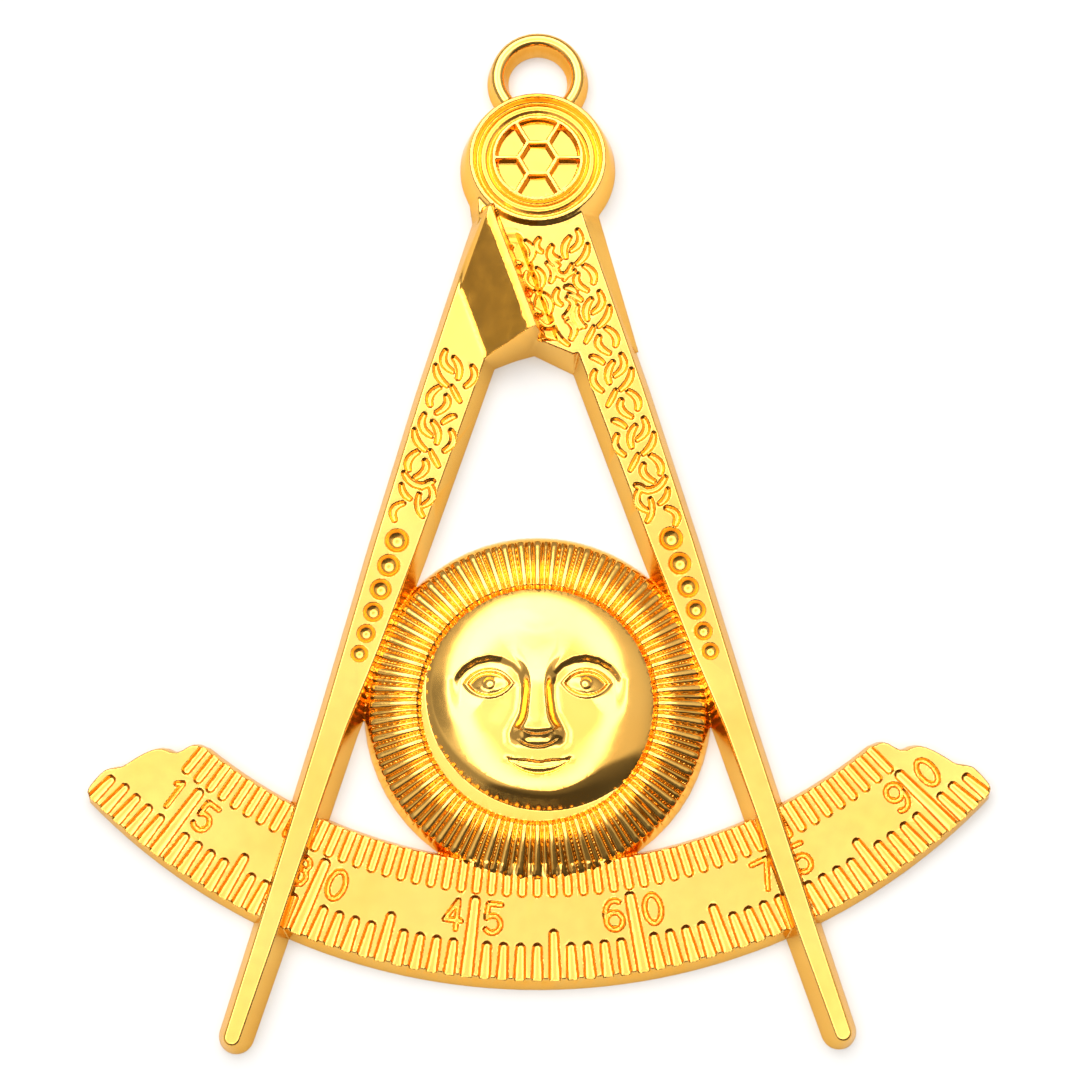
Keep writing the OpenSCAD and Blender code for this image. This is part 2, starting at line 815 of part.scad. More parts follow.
// The face's dome on its plain margin
module face_dome() {
    cylinder(h = face_margin_h, r = face_r);
    intersection() {
        translate([0, 0, face_top_h - dome_r])
            sphere(dome_r, $fn = 180);
        cylinder(h = nose_h, r = face_r - face_margin / 2);
    }
}

// Nose: a ridge that widens down to a round tip, with a wing on each side
module nose() {
    hull() {
        translate([0, nose_y, nose_h - nose_tip_r])
            sphere(nose_tip_r, $fn = 32);
        translate([0, nose_y + nose_len - 2 * nose_tip_r, dome_h(2) - nose_tip_r * 0.7])
            sphere(nose_tip_r * 0.8, $fn = 32);
    }
    for (way = [-1, 1])
        translate([way * (nose_w / 2 - nose_wing_r), nose_y + 0.5, dome_h(nose_w) - 0.25])
            sphere(nose_wing_r, $fn = 32);
}

// Arc-shaped bead used for brows, lids and lips
module bead(r, thick, from, to, height) {
    translate([0, 0, height])
        rotate_extrude(angle = to - from, start = from)
            translate([r, 0])
                circle(thick, $fn = 24);
}

// Places a feature on the dome, laid flat against its slope
module on_dome(x, y) {
    translate([x, y, dome_h(norm([x, y]))])
        rotate([-asin(y / dome_r), asin(x / dome_r), 0])
            children();
}

module eye(way) {
    lid_r = eye_len * 0.62;
    lid_rise = lid_r * 0.68;
    on_dome(way * eye_x, eye_y) {
        translate([0, -lid_rise, 0])
            bead(lid_r, 0.2, 42, 138, 0);
        translate([0, lid_rise, 0])
            bead(lid_r, 0.16, 226, 314, -0.06);
        translate([0, 0, -0.8])
            sphere(1.0, $fn = 32);
    }
}

module brow(way) {
    brow_r = eye_len * 0.95;
    on_dome(way * (eye_x - 0.1), eye_y + 2.16)
        translate([0, -brow_r, 0])
            bead(brow_r, 0.3, way > 0 ? 30 : 45, way > 0 ? 135 : 150, -0.12);
}

module mouth() {
    lip_r = mouth_w * 0.85;
    on_dome(0, mouth_y) {
        translate([0, lip_r - 0.2, 0])
            bead(lip_r, 0.28, 245, 295, -0.14);
        translate([0, -lip_r * 0.8, 0])
            bead(lip_r, 0.24, 62, 118, -0.2);
    }
}

module sun() {
    translate([0, sun_y, 0]) {
        ray_band();
        face_dome();
        nose();
        for (way = [-1, 1]) {
            eye(way);
            brow(way);
        }
        mouth();
    }
}

module jewel_casting() {
    color(GOLD)
        translate([0, boss_y, 0]) {
            difference() {
                loop();
                loop_hole();
            }
            boss();
            legs();
            sector();
            sun();
        }
}

jewel_casting();
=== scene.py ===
import math

import bpy
import numpy as np
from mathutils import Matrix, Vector


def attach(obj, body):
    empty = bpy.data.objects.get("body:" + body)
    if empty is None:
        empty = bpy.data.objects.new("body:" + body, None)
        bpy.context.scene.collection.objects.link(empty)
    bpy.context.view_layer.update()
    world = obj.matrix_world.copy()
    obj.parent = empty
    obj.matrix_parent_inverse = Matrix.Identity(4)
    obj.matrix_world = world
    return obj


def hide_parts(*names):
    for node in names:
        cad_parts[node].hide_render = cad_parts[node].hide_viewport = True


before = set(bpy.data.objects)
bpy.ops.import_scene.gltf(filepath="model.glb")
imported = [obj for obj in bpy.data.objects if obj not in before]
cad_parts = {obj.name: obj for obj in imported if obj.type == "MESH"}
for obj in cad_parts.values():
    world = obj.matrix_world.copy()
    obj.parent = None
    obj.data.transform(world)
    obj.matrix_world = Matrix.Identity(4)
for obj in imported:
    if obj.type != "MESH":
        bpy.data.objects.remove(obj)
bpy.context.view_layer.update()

# Grid of the height field
STEP = 0.08
HALF_WIDTH = 38.6
FIELD_TOP = 13.6
FIELD_FOOT = -77.6
BELOW = -3.0

# Whole piece
TIP_DROP = 77.0
LOOP_TOP = 13.02
BOSS_Y = (TIP_DROP - LOOP_TOP) / 2
FILLET = 0.55

# Hinge boss
BOSS_BASE_R = 7.0
BOSS_PROFILE = [
    # radius, height
    (7.25, -0.85), (7.00, 0.00), (6.25, 2.62), (6.06, 2.95), (5.88, 3.00), (5.70, 2.92),
    (5.54, 2.50), (5.42, 2.38), (5.25, 2.44), (5.05, 2.58), (4.82, 2.64), (4.60, 2.58),
    (4.42, 2.46), (4.28, 2.40), (4.18, 2.50), (4.08, 2.78), (3.92, 2.86),
]
WHEEL_H = 2.86
CELL_H = 2.15
CELL_R = 3.76
HUB_R = 1.9
HUB_WALL = 0.30
SPOKE_W = 0.30
SPOKES = 6

# Hanging loop
LOOP_Y = 8.4
LOOP_BASE_R = 4.6
LOOP_HOLE_R = 2.68
LOOP_H = 1.25
LOOP_OUT_RUN = 0.4
LOOP_IN_RUN = 0.35
LOOP_RING_R = 3.66
LOOP_WIRE_R = 0.68

# Legs, each in a frame of its own: down from the boss, side positive on the outside
LEG_ANGLE = {"left": 17.1, "right": 18.0}
LEG_OFFSET = {"left": -1.24, "right": 0.08}
LEG_ROWS = [
    # down, half width outside, half width inside
    (0.0, 2.92, 3.50), (22.9, 2.87, 2.98), (37.1, 2.56, 2.59), (45.8, 2.24, 2.21),
    (52.9, 1.98, 1.72), (71.1, 1.58, 1.58), (79.0, 1.45, 1.45),
]
LEG_H = 2.5
LEG_RUN = 0.8
LEG_EDGE = 0.28
TIP_R = 1.45

# Hinge plate and shoulder, as corners at the back and at the face
PLATE_BACK = [(-6.2, -3.0), (-3.9, -18.6), (-0.3, -17.6), (3.07, -19.3), (8.9, -17.2), (5.1, -3.0)]
PLATE_FACE = [(-5.4, -3.0), (-4.4, -17.4), (-0.6, -16.6), (3.1, -18.15), (7.5, -17.0), (3.3, -3.0)]
RIDGE_H = 4.6
RIDGE_W = 0.5
RIDGE_TOP = (-4.4, -5.8)
RIDGE_FOOT = (-0.55, -16.5)
RIDGE_WALL_SLOPE = 4.0
RIDGE_END_SLOPE = 2.4
RIDGE_END_PAST = 0.9
FACET_SIDE = (-6.85, -12.4)
FACET_FOOT = (-4.4, -18.5)

# Dimples on the legs
DIMPLE_COUNT = 6
DIMPLE_START = 36.4
DIMPLE_D = 2.05
DIMPLE_STEP = 0.12
DIMPLE_LAND = 0.28
DIMPLE_SINK = 0.34

# Carved strokes: down and side of the start, the middle and the end, and the width
SPRIG = [
    (0.10, 1.20, 1.15, 1.05, 1.70, 0.05, 0.46),
    (1.65, 1.60, 2.50, 1.08, 3.05, 0.15, 0.44),
    (0.50, 0.30, 1.20, -0.38, 2.15, -0.60, 0.46),
    (3.00, -0.30, 3.55, -0.80, 4.10, -1.38, 0.36),
    (0.80, -1.45, 1.65, -1.90, 2.65, -1.45, 0.46),
    (3.40, 0.72, 4.30, 1.22, 5.15, 0.98, 0.48),
    (4.00, -0.12, 4.75, -0.38, 5.65, 0.22, 0.48),
    (5.50, -1.35, 5.80, -0.95, 6.35, -0.55, 0.42),
]
SPRIG_PITCH = 6.05
SPRIG_STARTS = {"left": (19.0, 2), "right": (7.4, 4)}
LAST_SPRIG = [
    (0.60, -1.10, 0.95, 0.10, 0.30, 1.25, 0.46),
    (0.60, -1.15, 1.60, -1.72, 2.55, -1.15, 0.48),
    (1.35, 1.15, 2.00, 0.72, 2.30, 0.08, 0.40),
    (1.70, -0.55, 2.75, -0.80, 3.45, -1.45, 0.40),
    (2.85, 0.50, 3.60, 1.12, 4.45, 0.75, 0.46),
]
LAST_START = {"left": 30.3, "right": 30.9}
PLATE_STROKES = [
    (7.20, -2.30, 7.80, -2.75, 8.40, -2.45, 0.44),
    (8.30, -1.45, 8.90, -1.75, 9.55, -1.15, 0.44),
    (9.80, -1.60, 10.95, -1.60, 11.00, -0.30, 0.46),
    (12.20, -1.45, 12.45, -1.00, 12.85, -0.75, 0.46),
    (9.60, -2.30, 10.50, -2.05, 11.30, -2.55, 0.44),
    (12.20, -2.20, 12.90, -2.65, 13.60, -2.35, 0.44),
    (13.20, -1.60, 13.95, -1.35, 14.75, -2.40, 0.48),
    (14.20, -1.10, 15.10, -1.45, 16.10, -1.05, 0.52),
    (15.20, -2.30, 16.05, -1.95, 16.85, -2.50, 0.48),
    (15.60, -3.60, 16.60, -3.35, 17.30, -2.90, 0.36),
    (7.00, -4.90, 8.00, -5.20, 8.80, -4.60, 0.50),
    (7.10, -3.50, 8.10, -3.20, 8.90, -3.90, 0.50),
    (9.80, -4.30, 10.60, -4.60, 11.40, -4.20, 0.48),
    (9.80, -3.35, 10.60, -3.10, 11.40, -3.45, 0.44),
    (12.00, -4.30, 12.90, -4.75, 13.70, -4.30, 0.50),
    (12.20, -3.50, 13.10, -3.20, 14.00, -3.60, 0.46),
    (14.40, -4.60, 15.10, -4.10, 15.00, -3.40, 0.46),
]
STROKE_DEPTH = 0.3
GROUND_DEPTH = 0.5
SCROLL_REACH = 2.1

# Sector
ARC_DROP = 16.9
ARC_IN_R = 44.95
ARC_OUT_R = 54.1
ARC_H = 1.9
ARC_IN_RUN = 0.22
ARC_OUT_RUN = 0.9
ARC_OUT_RUN_END = 0.5
ARC_END_RUN = 0.3
ARC_EDGE = 0.16
ARC_HALF_ANGLE = 38.0
RIGHT_END_TURN = 0.4
OUTER_CORNER = 5.3
END_SHAPE = [
    # share of the sector's width, angle past the inner arc
    (0.010, 0.30), (0.022, 0.85), (0.040, 1.15), (0.072, 1.40), (0.137, 1.65), (0.190, 1.95),
    (0.225, 2.50), (0.242, 3.10), (0.268, 3.60), (0.317, 4.00), (0.388, 4.35), (0.475, 4.65),
    (0.563, 4.87), (0.617, 5.05), (0.656, 5.35), (0.694, 5.68), (0.738, 5.93), (0.803, 5.98),
    (0.885, 5.93), (0.945, 5.85), (0.984, 5.65),
]

# Scale
MARKS = [
    # angle from straight down, left numeral, right numeral
    (-35.6, 1, 5), (-21.3, 3, 0), (-6.1, 4, 5), (9.1, 6, 0), (24.0, 7, 5), (38.9, 9, 0),
]
MARK_STEP = 10
TICKS_BEFORE = 5
TICKS_AFTER = 3
TICK_PITCH = 1.46
TICK_W = 0.72
TICK_FLARE = 0.24
TICK_LEN = 2.8
MID_LEN = 3.9
LONG_LEN = 6.35
INNER_MIDDLE = -6.1
INNER_PITCH = 1.52
INNER_FIRST = -21
INNER_LAST = 29
INNER_LEN = 2.65
TICK_DEPTH = 0.36
TICK_LEAN = [(-43.0, 0.0), (-35.6, 0.0), (-21.3, -1.4), (-6.1, -0.4), (0.0, 0.0), (43.0, 6.3)]
TICK_SOFT = 0.075

# Numerals
DIGIT_H = 2.65
DIGIT_W = 1.7
DIGIT_STROKE = 0.36
DIGIT_GAP = 1.62
DIGIT_R = ARC_OUT_R - 4.7

# Sun
SUN_Y = -48.7
SUN_BASE_R = 14.68
RAY_COUNT = 60
BROAD_SHARE = 0.6
RAY_DEPTH = 0.36
THIN_RAY = 0.6
RAY_FADE = 0.7
RAY_FADE_START = 14.15
RAY_FADE_END = 14.6
RAY_CREST = [
    (9.4, 2.4), (9.7, 2.68), (9.95, 2.95), (10.3, 3.05), (10.9, 3.0), (11.5, 2.86), (12.1, 2.67),
    (12.7, 2.45), (13.3, 2.22), (13.8, 2.0), (14.1, 1.75), (14.3, 1.3), (14.68, 0.0), (14.9, -0.9),
]
FACE_R = 9.69
FACE_MARGIN_H = 2.6
FACE_TOP_H = 4.5
DOME_R = 9.75
DOME_X = 0.3
DOME_Y = 1.0
DOME_POWER = 2.9
JAW_R = 10.1
JAW_X = 0.7
JAW_Y = 1.27
JAW_SLOPE = 1.02
JAW_SLOPE_DROP = 0.36
DISC_WALL_SLOPE = 14.0

# Face, in the sun's own frame
ORBIT = [
    # the hollow from the brow down beside the nose
    (7.0, 2.2), (6.2, 3.05), (5.2, 3.65), (4.0, 3.9), (2.9, 3.7), (1.9, 3.15), (1.25, 2.4), (1.0, 1.4),
    (1.02, 0.2), (1.25, -1.0), (1.75, -1.9), (2.15, -2.7), (2.1, -3.3), (1.6, -3.85), (0.0, -4.05),
    (-6.0, -4.05), (-6.0, -16.0), (16.0, -16.0), (16.0, 2.2),
]
EYE_X = 4.02
EYE_Y = 1.5
EYE_HALF = 1.78
EYE_RISE = 1.0
EYE_DEPTH = 0.18
LID_RISE = 0.13
BALL_RISE = 0.26
IRIS_R = 0.5
IRIS_RISE = 0.18
BROW_DEPTH = 0.30
BROW_DEPTH_MORE = 0.28
MOUTH_X = 0.12
MOUTH_TOP = -4.80
MOUTH_FOOT = -5.95
MOUTH_HALF = 2.5
MOUTH_DEPTH = 0.28
LIP_RISE = 0.22
NOSE_WIDTHS = [
    # place along the nose, half width
    (-3.95, 1.2), (-3.5, 1.75), (-2.9, 2.1), (-2.3, 2.0), (-1.5, 1.5), (0.0, 1.15),
    (1.5, 1.05), (2.6, 1.3), (4.2, 2.4), (6.0, 3.6),
]
NOSE_HEIGHTS = [
    # place along the nose, height above the pillow
    (-3.95, 0.0), (-3.82, 0.08), (-3.66, 0.30), (-3.5, 0.40), (-3.05, 0.48), (-2.88, 0.54),
    (-2.7, 0.79), (-2.52, 0.90), (-2.1, 0.93), (-1.5, 0.93), (0.0, 0.80), (1.5, 0.62),
    (2.6, 0.36), (4.0, 0.12), (6.0, 0.0),
]
TIP_ROUND = 0.2

# Gold
MOST_TRIANGLES = 195000
FACE_GOLD = (1.0, 0.57, 0.125, 1.0)
WARM_GOLD = (1.0, 0.52, 0.095, 1.0)
# The satin flats get darker copies of the gold: painted shade, as well as a rougher finish
SATIN_SHADED_GOLD = (0.80, 0.46, 0.105, 1.0)
WARM_SATIN_SHADED = (0.78, 0.42, 0.080, 1.0)
# Painted shade and dark reflection: the deeper orange gold of recesses, grooves and the facet
PAINTED_SHADE_GOLD = (0.80, 0.36, 0.030, 1.0)
EDGE_TINT = (1.0, 0.78, 0.36, 1.0)

# Studio, in metres and degrees
CAMERA_PLACE = (0.0002, -0.03557, 0.15172)
CAMERA_TILT = 12.4
CAMERA_LENS = 60.0
FLOOR_HALF = 1.5
FLOOR_GREY = (0.64, 0.64, 0.64, 1.0)
TENT_PLACE = (-0.055, 0.185, 0.0)
TENT_HALF = 0.615
TENT_MIDDLE = (-0.02, 0.12, 0.0)
PANEL_WAY = (-0.75, 0.09, 0.65)
NEAR_WAY = (0.35, -0.93, 0.1)
LAMP_PLACE = (-0.12, 0.22, 0.45)
LAMP_SIZE = 0.3
LAMP_POWER = 0.15


# Curves and blends

def smooth_step(low, high, value):
    """Rises from 0 at low to 1 at high, with no slope at either."""
    t = np.clip((value - low) / (high - low), 0.0, 1.0)
    return t * t * (3.0 - 2.0 * t)


def smooth_max(a, b, reach):
    """The larger of two heights, with a fillet where they meet."""
    blend = np.maximum(reach - np.abs(a - b), 0.0) / reach
    return np.maximum(a, b) + blend * blend * reach / 4.0


def smooth_min(a, b, reach):
    """The smaller of two heights, with a round where they meet."""
    return -smooth_max(-a, -b, reach)


def bump(x, y, cx, cy, rx, ry, turn=0.0):
    """A soft round hump of height 1 at its middle."""
    c = math.cos(math.radians(turn))
    s = math.sin(math.radians(turn))
    dx = (x - cx) * c + (y - cy) * s
    dy = (y - cy) * c - (x - cx) * s
    return np.exp(-(dx / rx) ** 2 - (dy / ry) ** 2)


def eased(table, value):
    """A height read from rows of place and height, eased between them."""
    rows = sorted(table)
    places = [row[0] for row in rows]
    heights = [row[1] for row in rows]
    k = np.clip(np.searchsorted(places, value) - 1, 0, len(rows) - 2)
    places = np.array(places)
    heights = np.array(heights)
    slopes = np.gradient(heights, places)
    width = places[k + 1] - places[k]
    t = np.clip((value - places[k]) / width, 0.0, 1.0)
    h00 = 2 * t ** 3 - 3 * t ** 2 + 1
    h10 = t ** 3 - 2 * t ** 2 + t
    h01 = -2 * t ** 3 + 3 * t ** 2
    h11 = t ** 3 - t ** 2
    return (h00 * heights[k] + h10 * width * slopes[k]
            + h01 * heights[k + 1] + h11 * width * slopes[k + 1])


def rounded_wall(inside, run, height, edge):
    """Height of a leaning wall and the flat behind it, with an arc of radius edge between them."""
    slope = height / run
    turn = np.arctan(slope)
    tangent = edge * np.tan(turn / 2)
    end = run + tangent
    start = run - tangent * np.cos(turn)
    gap = np.clip(end - inside, 0.0, edge)
    arc = height - edge + np.sqrt(np.maximum(edge ** 2 - gap ** 2, 0.0))
    wall = inside * slope
    return np.where(inside >= end, height, np.where(inside <= start, wall, arc))


# Distances in the plane

def to_segment(x, y, a, b):
    """Distance to a straight line between two points."""
    ax, ay = a
    dx = b[0] - ax
    dy = b[1] - ay
    t = np.clip(((x - ax) * dx + (y - ay) * dy) / (dx * dx + dy * dy), 0.0, 1.0)
    return np.hypot(x - ax - t * dx, y - ay - t * dy)


def to_outline(x, y, points):
    """Signed distance to a closed outline, positive inside."""
    nearest = np.full(x.shape, 1e9)
    inside = np.zeros(x.shape, bool)
    for a, b in zip(points, points[1:] + points[:1]):
        nearest = np.minimum(nearest, to_segment(x, y, a, b))
        if a[1] != b[1]:
            crosses = (a[1] > y) != (b[1] > y)
            inside ^= crosses & (x < (b[0] - a[0]) * (y - a[1]) / (b[1] - a[1]) + a[0])
    return np.where(inside, nearest, -nearest)


def curve_points(start, middle, end, count=9):
    """Points along the curve through three points."""
    out = []
    for i in range(count):
        t = i / (count - 1)
        a = (1 - t) * (1 - 2 * t)
        b = 4 * t * (1 - t)
        c = t * (2 * t - 1)
        out.append(tuple(a * p + b * q + c * r for p, q, r in zip(start, middle, end)))
    return out


def to_line(x, y, points):
    """Distance to an open line of points."""
    nearest = np.full(x.shape, 1e9)
    for a, b in zip(points, points[1:]):
        nearest = np.minimum(nearest, to_segment(x, y, a, b))
    return nearest


def below(radius, angle):
    """A point by its distance from the arcs' centre and its angle from straight down."""
    a = math.radians(angle)
    return (radius * math.sin(a), -ARC_DROP - radius * math.cos(a))


# The height field

class Field:
    """Heights over an even grid, in the boss's frame."""

    def __init__(self):
        self.xs = np.arange(-HALF_WIDTH, HALF_WIDTH + STEP, STEP)
        self.ys = np.arange(FIELD_FOOT, FIELD_TOP + STEP, STEP)
        self.z = np.full((len(self.ys), len(self.xs)), BELOW)
        # How much painted shade each point gets: recesses, grooves and the facet are painted a deeper,
        # darker orange gold in place of their shade and dark reflections
        self.painted_shade = np.zeros(self.z.shape)

    def window(self, x0, x1, y0, y1):
        """The part of the grid within a box, with its places."""
        i0, i1 = np.searchsorted(self.xs, (x0, x1))
        j0, j1 = np.searchsorted(self.ys, (y0, y1))
        part = (slice(j0, j1), slice(i0, i1))
        x, y = np.meshgrid(self.xs[i0:i1], self.ys[j0:j1])
        return part, x, y

    def around(self, points):
        """The part of the grid around some points, with its places."""
        xs, ys = zip(*points)
        return self.window(min(xs) - 1, max(xs) + 1, min(ys) - 1, max(ys) + 1)

    def join(self, part, heights, reach=FILLET):
        """Adds metal, with a fillet where it meets what is there."""
        self.z[part] = smooth_max(self.z[part], heights, reach)

    def cover(self, part, heights):
        """Adds metal that hides the recesses under it, and the painted shade in them."""
        self.painted_shade[part] = np.where(heights > self.z[part], 0.0, self.painted_shade[part])
        self.z[part] = np.maximum(self.z[part], heights)

    def sink(self, part, floor, share, painted_shade_amount):
        """Takes metal away down to a floor, wholly where share is 1, and paints shade into the hollow,
        most on its sloping sides.
        """
        self.z[part] -= np.maximum(self.z[part] - floor, 0.0) * share
        self.mark(part, painted_shade_amount * share + 3.2 * share * (1 - share))

    # Paints shade: raises each point's share of painted shade, which the material turns into a deeper,
    # darker gold
    def mark(self, part, share):
        self.painted_shade[part] = np.maximum(self.painted_shade[part], share)


# Legs, plate and shoulder

def leg_frame(side, x, y):
    """Down and side coordinates of a leg."""
    way = -1.0 if side == "left" else 1.0
    a = math.radians(LEG_ANGLE[side])
    dx = (x - LEG_OFFSET[side]) * way
    return dx * math.sin(a) - y * math.cos(a), dx * math.cos(a) + y * math.sin(a)


def leg_place(side, down, out):
    """The point of a leg's frame in the boss's frame."""
    way = -1.0 if side == "left" else 1.0
    a = math.radians(LEG_ANGLE[side])
    x = LEG_OFFSET[side] + way * (down * math.sin(a) + out * math.cos(a))
    return (x, -down * math.cos(a) + out * math.sin(a))


def leg_sides(down, out):
    """Distances inward from a leg's outer and inner edge."""
    places, outer, inner = zip(*LEG_ROWS)
    return np.interp(down, places, outer) - out, np.interp(down, places, inner) + out


def leg_height(side, x, y):
    down, out = leg_frame(side, x, y)
    outer, inner = leg_sides(down, out)
    inside = smooth_min(outer, inner, 0.1)
    length = LEG_ROWS[-1][0]
    inside = np.where(down > length, TIP_R - np.hypot(out, down - length), inside)
    inside = np.minimum(inside, down + 2.0)
    return rounded_wall(inside, LEG_RUN, LEG_H, LEG_EDGE)


def add_legs(field):
    for side in ("left", "right"):
        tip = leg_place(side, LEG_ROWS[-1][0], 0.0)
        low = min(tip[0], 0.0) - 6.0
        high = max(tip[0], 0.0) + 6.0
        part, x, y = field.window(low, high, FIELD_FOOT, 3.0)
        field.cover(part, leg_height(side, x, y))


def add_plate(field):
    part, x, y = field.window(-8.5, 10.5, -21.0, -1.0)
    back = to_outline(x, y, PLATE_BACK)
    face = to_outline(x, y, PLATE_FACE)
    run = np.maximum(back - face, 0.2)
    field.cover(part, rounded_wall(back, run, LEG_H, LEG_EDGE))


def plane(x, y, a, b, c):
    """Height of the plane through three points."""
    u = [q - p for p, q in zip(a, b)]
    v = [q - p for p, q in zip(a, c)]
    nx = u[1] * v[2] - u[2] * v[1]
    ny = u[2] * v[0] - u[0] * v[2]
    nz = u[0] * v[1] - u[1] * v[0]
    return a[2] - (nx * (x - a[0]) + ny * (y - a[1])) / nz


def along_ridge(x, y):
    """Distance to the right of the ridge's line, and down along it from its top."""
    run = (RIDGE_FOOT[0] - RIDGE_TOP[0], RIDGE_FOOT[1] - RIDGE_TOP[1])
    size = math.hypot(*run)
    along = (run[0] / size, run[1] / size)
    right = (x - RIDGE_TOP[0]) * -along[1] + (y - RIDGE_TOP[1]) * along[0]
    down = (x - RIDGE_TOP[0]) * along[0] + (y - RIDGE_TOP[1]) * along[1]
    return right, down


def add_shoulder(field):
    part, x, y = field.window(-10.0, 3.0, -21.0, -2.0)
    right, down = along_ridge(x, y)
    top = RIDGE_TOP + (RIDGE_H,)
    foot = RIDGE_FOOT + (RIDGE_H,)
    facet_foot = FACET_FOOT + (LEG_H,)
    facet_side = FACET_SIDE + (LEG_H,)
    facet = plane(x, y, top, foot, facet_foot) + RIDGE_W * 0.2
    outer = plane(x, y, top, facet_side, (FACET_SIDE[0] - 1.5, FACET_SIDE[1], 0.0))
    crotch = plane(x, y, foot, facet_foot, (RIDGE_FOOT[0], RIDGE_FOOT[1] - 1.0, 0.0))
    steep = RIDGE_H - (right - RIDGE_W) * RIDGE_WALL_SLOPE
    upper = RIDGE_H + down * RIDGE_END_SLOPE + RIDGE_END_PAST
    edge = leg_sides(*leg_frame("left", x, y))[0] * LEG_H / LEG_RUN
    height = np.minimum(np.full(x.shape, RIDGE_H), facet)
    # The ridge's end beside the boss stands alone, with nothing to its left
    corner = RIDGE_H + right * RIDGE_WALL_SLOPE + np.maximum(down, 0.0) * 20.0
    for face in (outer, crotch, steep, upper, edge, corner):
        height = smooth_min(height, face, 0.14)
    # The shoulder hides the painted shade of what lies under it
    field.painted_shade[part] = np.where(height > field.z[part], 0.0, field.painted_shade[part])
    field.join(part, height, 0.2)
    # The facet gets painted dark reflection: a strong share of painted shade where it stands above the
    # leg
    on_facet = smooth_step(0.1, 0.02, facet - height) * smooth_step(0.1, -0.1, right)
    field.mark(part, 0.8 * on_facet * (height > LEG_H))


def add_dimples(field):
    for side in ("left", "right"):
        down = DIMPLE_START
        for i in range(DIMPLE_COUNT):
            size = DIMPLE_D - i * DIMPLE_STEP
            cx, cy = leg_place(side, down, 0.0)
            part, x, y = field.window(cx - 2, cx + 2, cy - 2, cy + 2)
            sink = size * DIMPLE_SINK
            ball = (size * size / 4 + sink * sink) / (2 * sink)
            r = np.hypot(x - cx, y - cy)
            cup = LEG_H + ball - sink - np.sqrt(np.maximum(ball * ball - r * r, 0.0))
            cup = np.where(r < ball * 0.98, cup, 9.0)
            field.z[part] = smooth_min(field.z[part], cup, 0.08)
            # Painted shade in each cup, fading out at its rim
            field.mark(part, 0.55 * smooth_step(size / 2 + 0.02, size / 2 - 0.12, r))
            down += size / 2 + (size - DIMPLE_STEP) / 2 + DIMPLE_LAND


def stroke_line(side, row, down):
    """The curve of one stroke, from its row and how far down the leg it starts."""
    return curve_points(*[leg_place(side, down + row[i], row[i + 1]) for i in (0, 2, 4)])


def cut_stroke(field, side, row, down):
    """One carved stroke with round ends, sunk into a leg's face."""
    line = stroke_line(side, row, down)
    part, x, y = field.around(line)
    count = len(line) - 1
    gap = np.full(x.shape, 9.0)
    for i in range(count):
        half = row[-1] / 2 * (0.84 + 0.42 * math.sin(math.pi * (i + 0.5) / count))
        gap = np.minimum(gap, to_segment(x, y, line[i], line[i + 1]) - half)
    hollow = 0.7 + 0.3 * (1 - np.clip(1 + gap / (row[-1] / 2), 0.0, 1.0) ** 2)
    share = smooth_step(0.14, -0.14, gap)
    # The stroke is sunk, and painted shade goes into it
    field.sink(part, LEG_H - STROKE_DEPTH * hollow, share, 0.3)


def sink_ground(field):
    """The sunken ground of the scrolls beside the ridge, fading out at its ends and its right."""
    part, x, y = field.window(-4.0, 3.5, -17.0, -6.6)
    gap = along_ridge(x, y)[0]
    share = smooth_step(0.25, 0.5, gap) * smooth_step(2.5, 1.8, gap)
    share = share * smooth_step(-17.2, -16.0, y + 0.3 * gap) * smooth_step(-6.4, -8.0, y)
    # The ground is sunk, with strong painted shade on it
    field.sink(part, LEG_H - GROUND_DEPTH, share, 0.8)


def raise_scroll(field, row):
    """One scroll that stands up from the sunken ground."""
    line = stroke_line("right", row, 0.0)
    part, x, y = field.around(line)
    half = row[-1] * 0.62
    over = half ** 2 - to_line(x, y, line) ** 2
    rise = 1.3 * np.sqrt(np.maximum(over, 0.0))
    field.join(part, np.where(over > 0, LEG_H - GROUND_DEPTH * 0.8 + rise, BELOW), 0.1)


def carve_legs(field):
    sink_ground(field)
    for side in ("left", "right"):
        start, count = SPRIG_STARTS[side]
        for i in range(count):
            for row in SPRIG:
                cut_stroke(field, side, row, start + i * SPRIG_PITCH)
        for row in LAST_SPRIG:
            cut_stroke(field, side, row, LAST_START[side])
    for row in PLATE_STROKES:
        if along_ridge(*leg_place("right", row[2], row[3]))[0] < SCROLL_REACH:
            raise_scroll(field, row)
        else:
            cut_stroke(field, "right", row, 0.0)


# Boss and loop

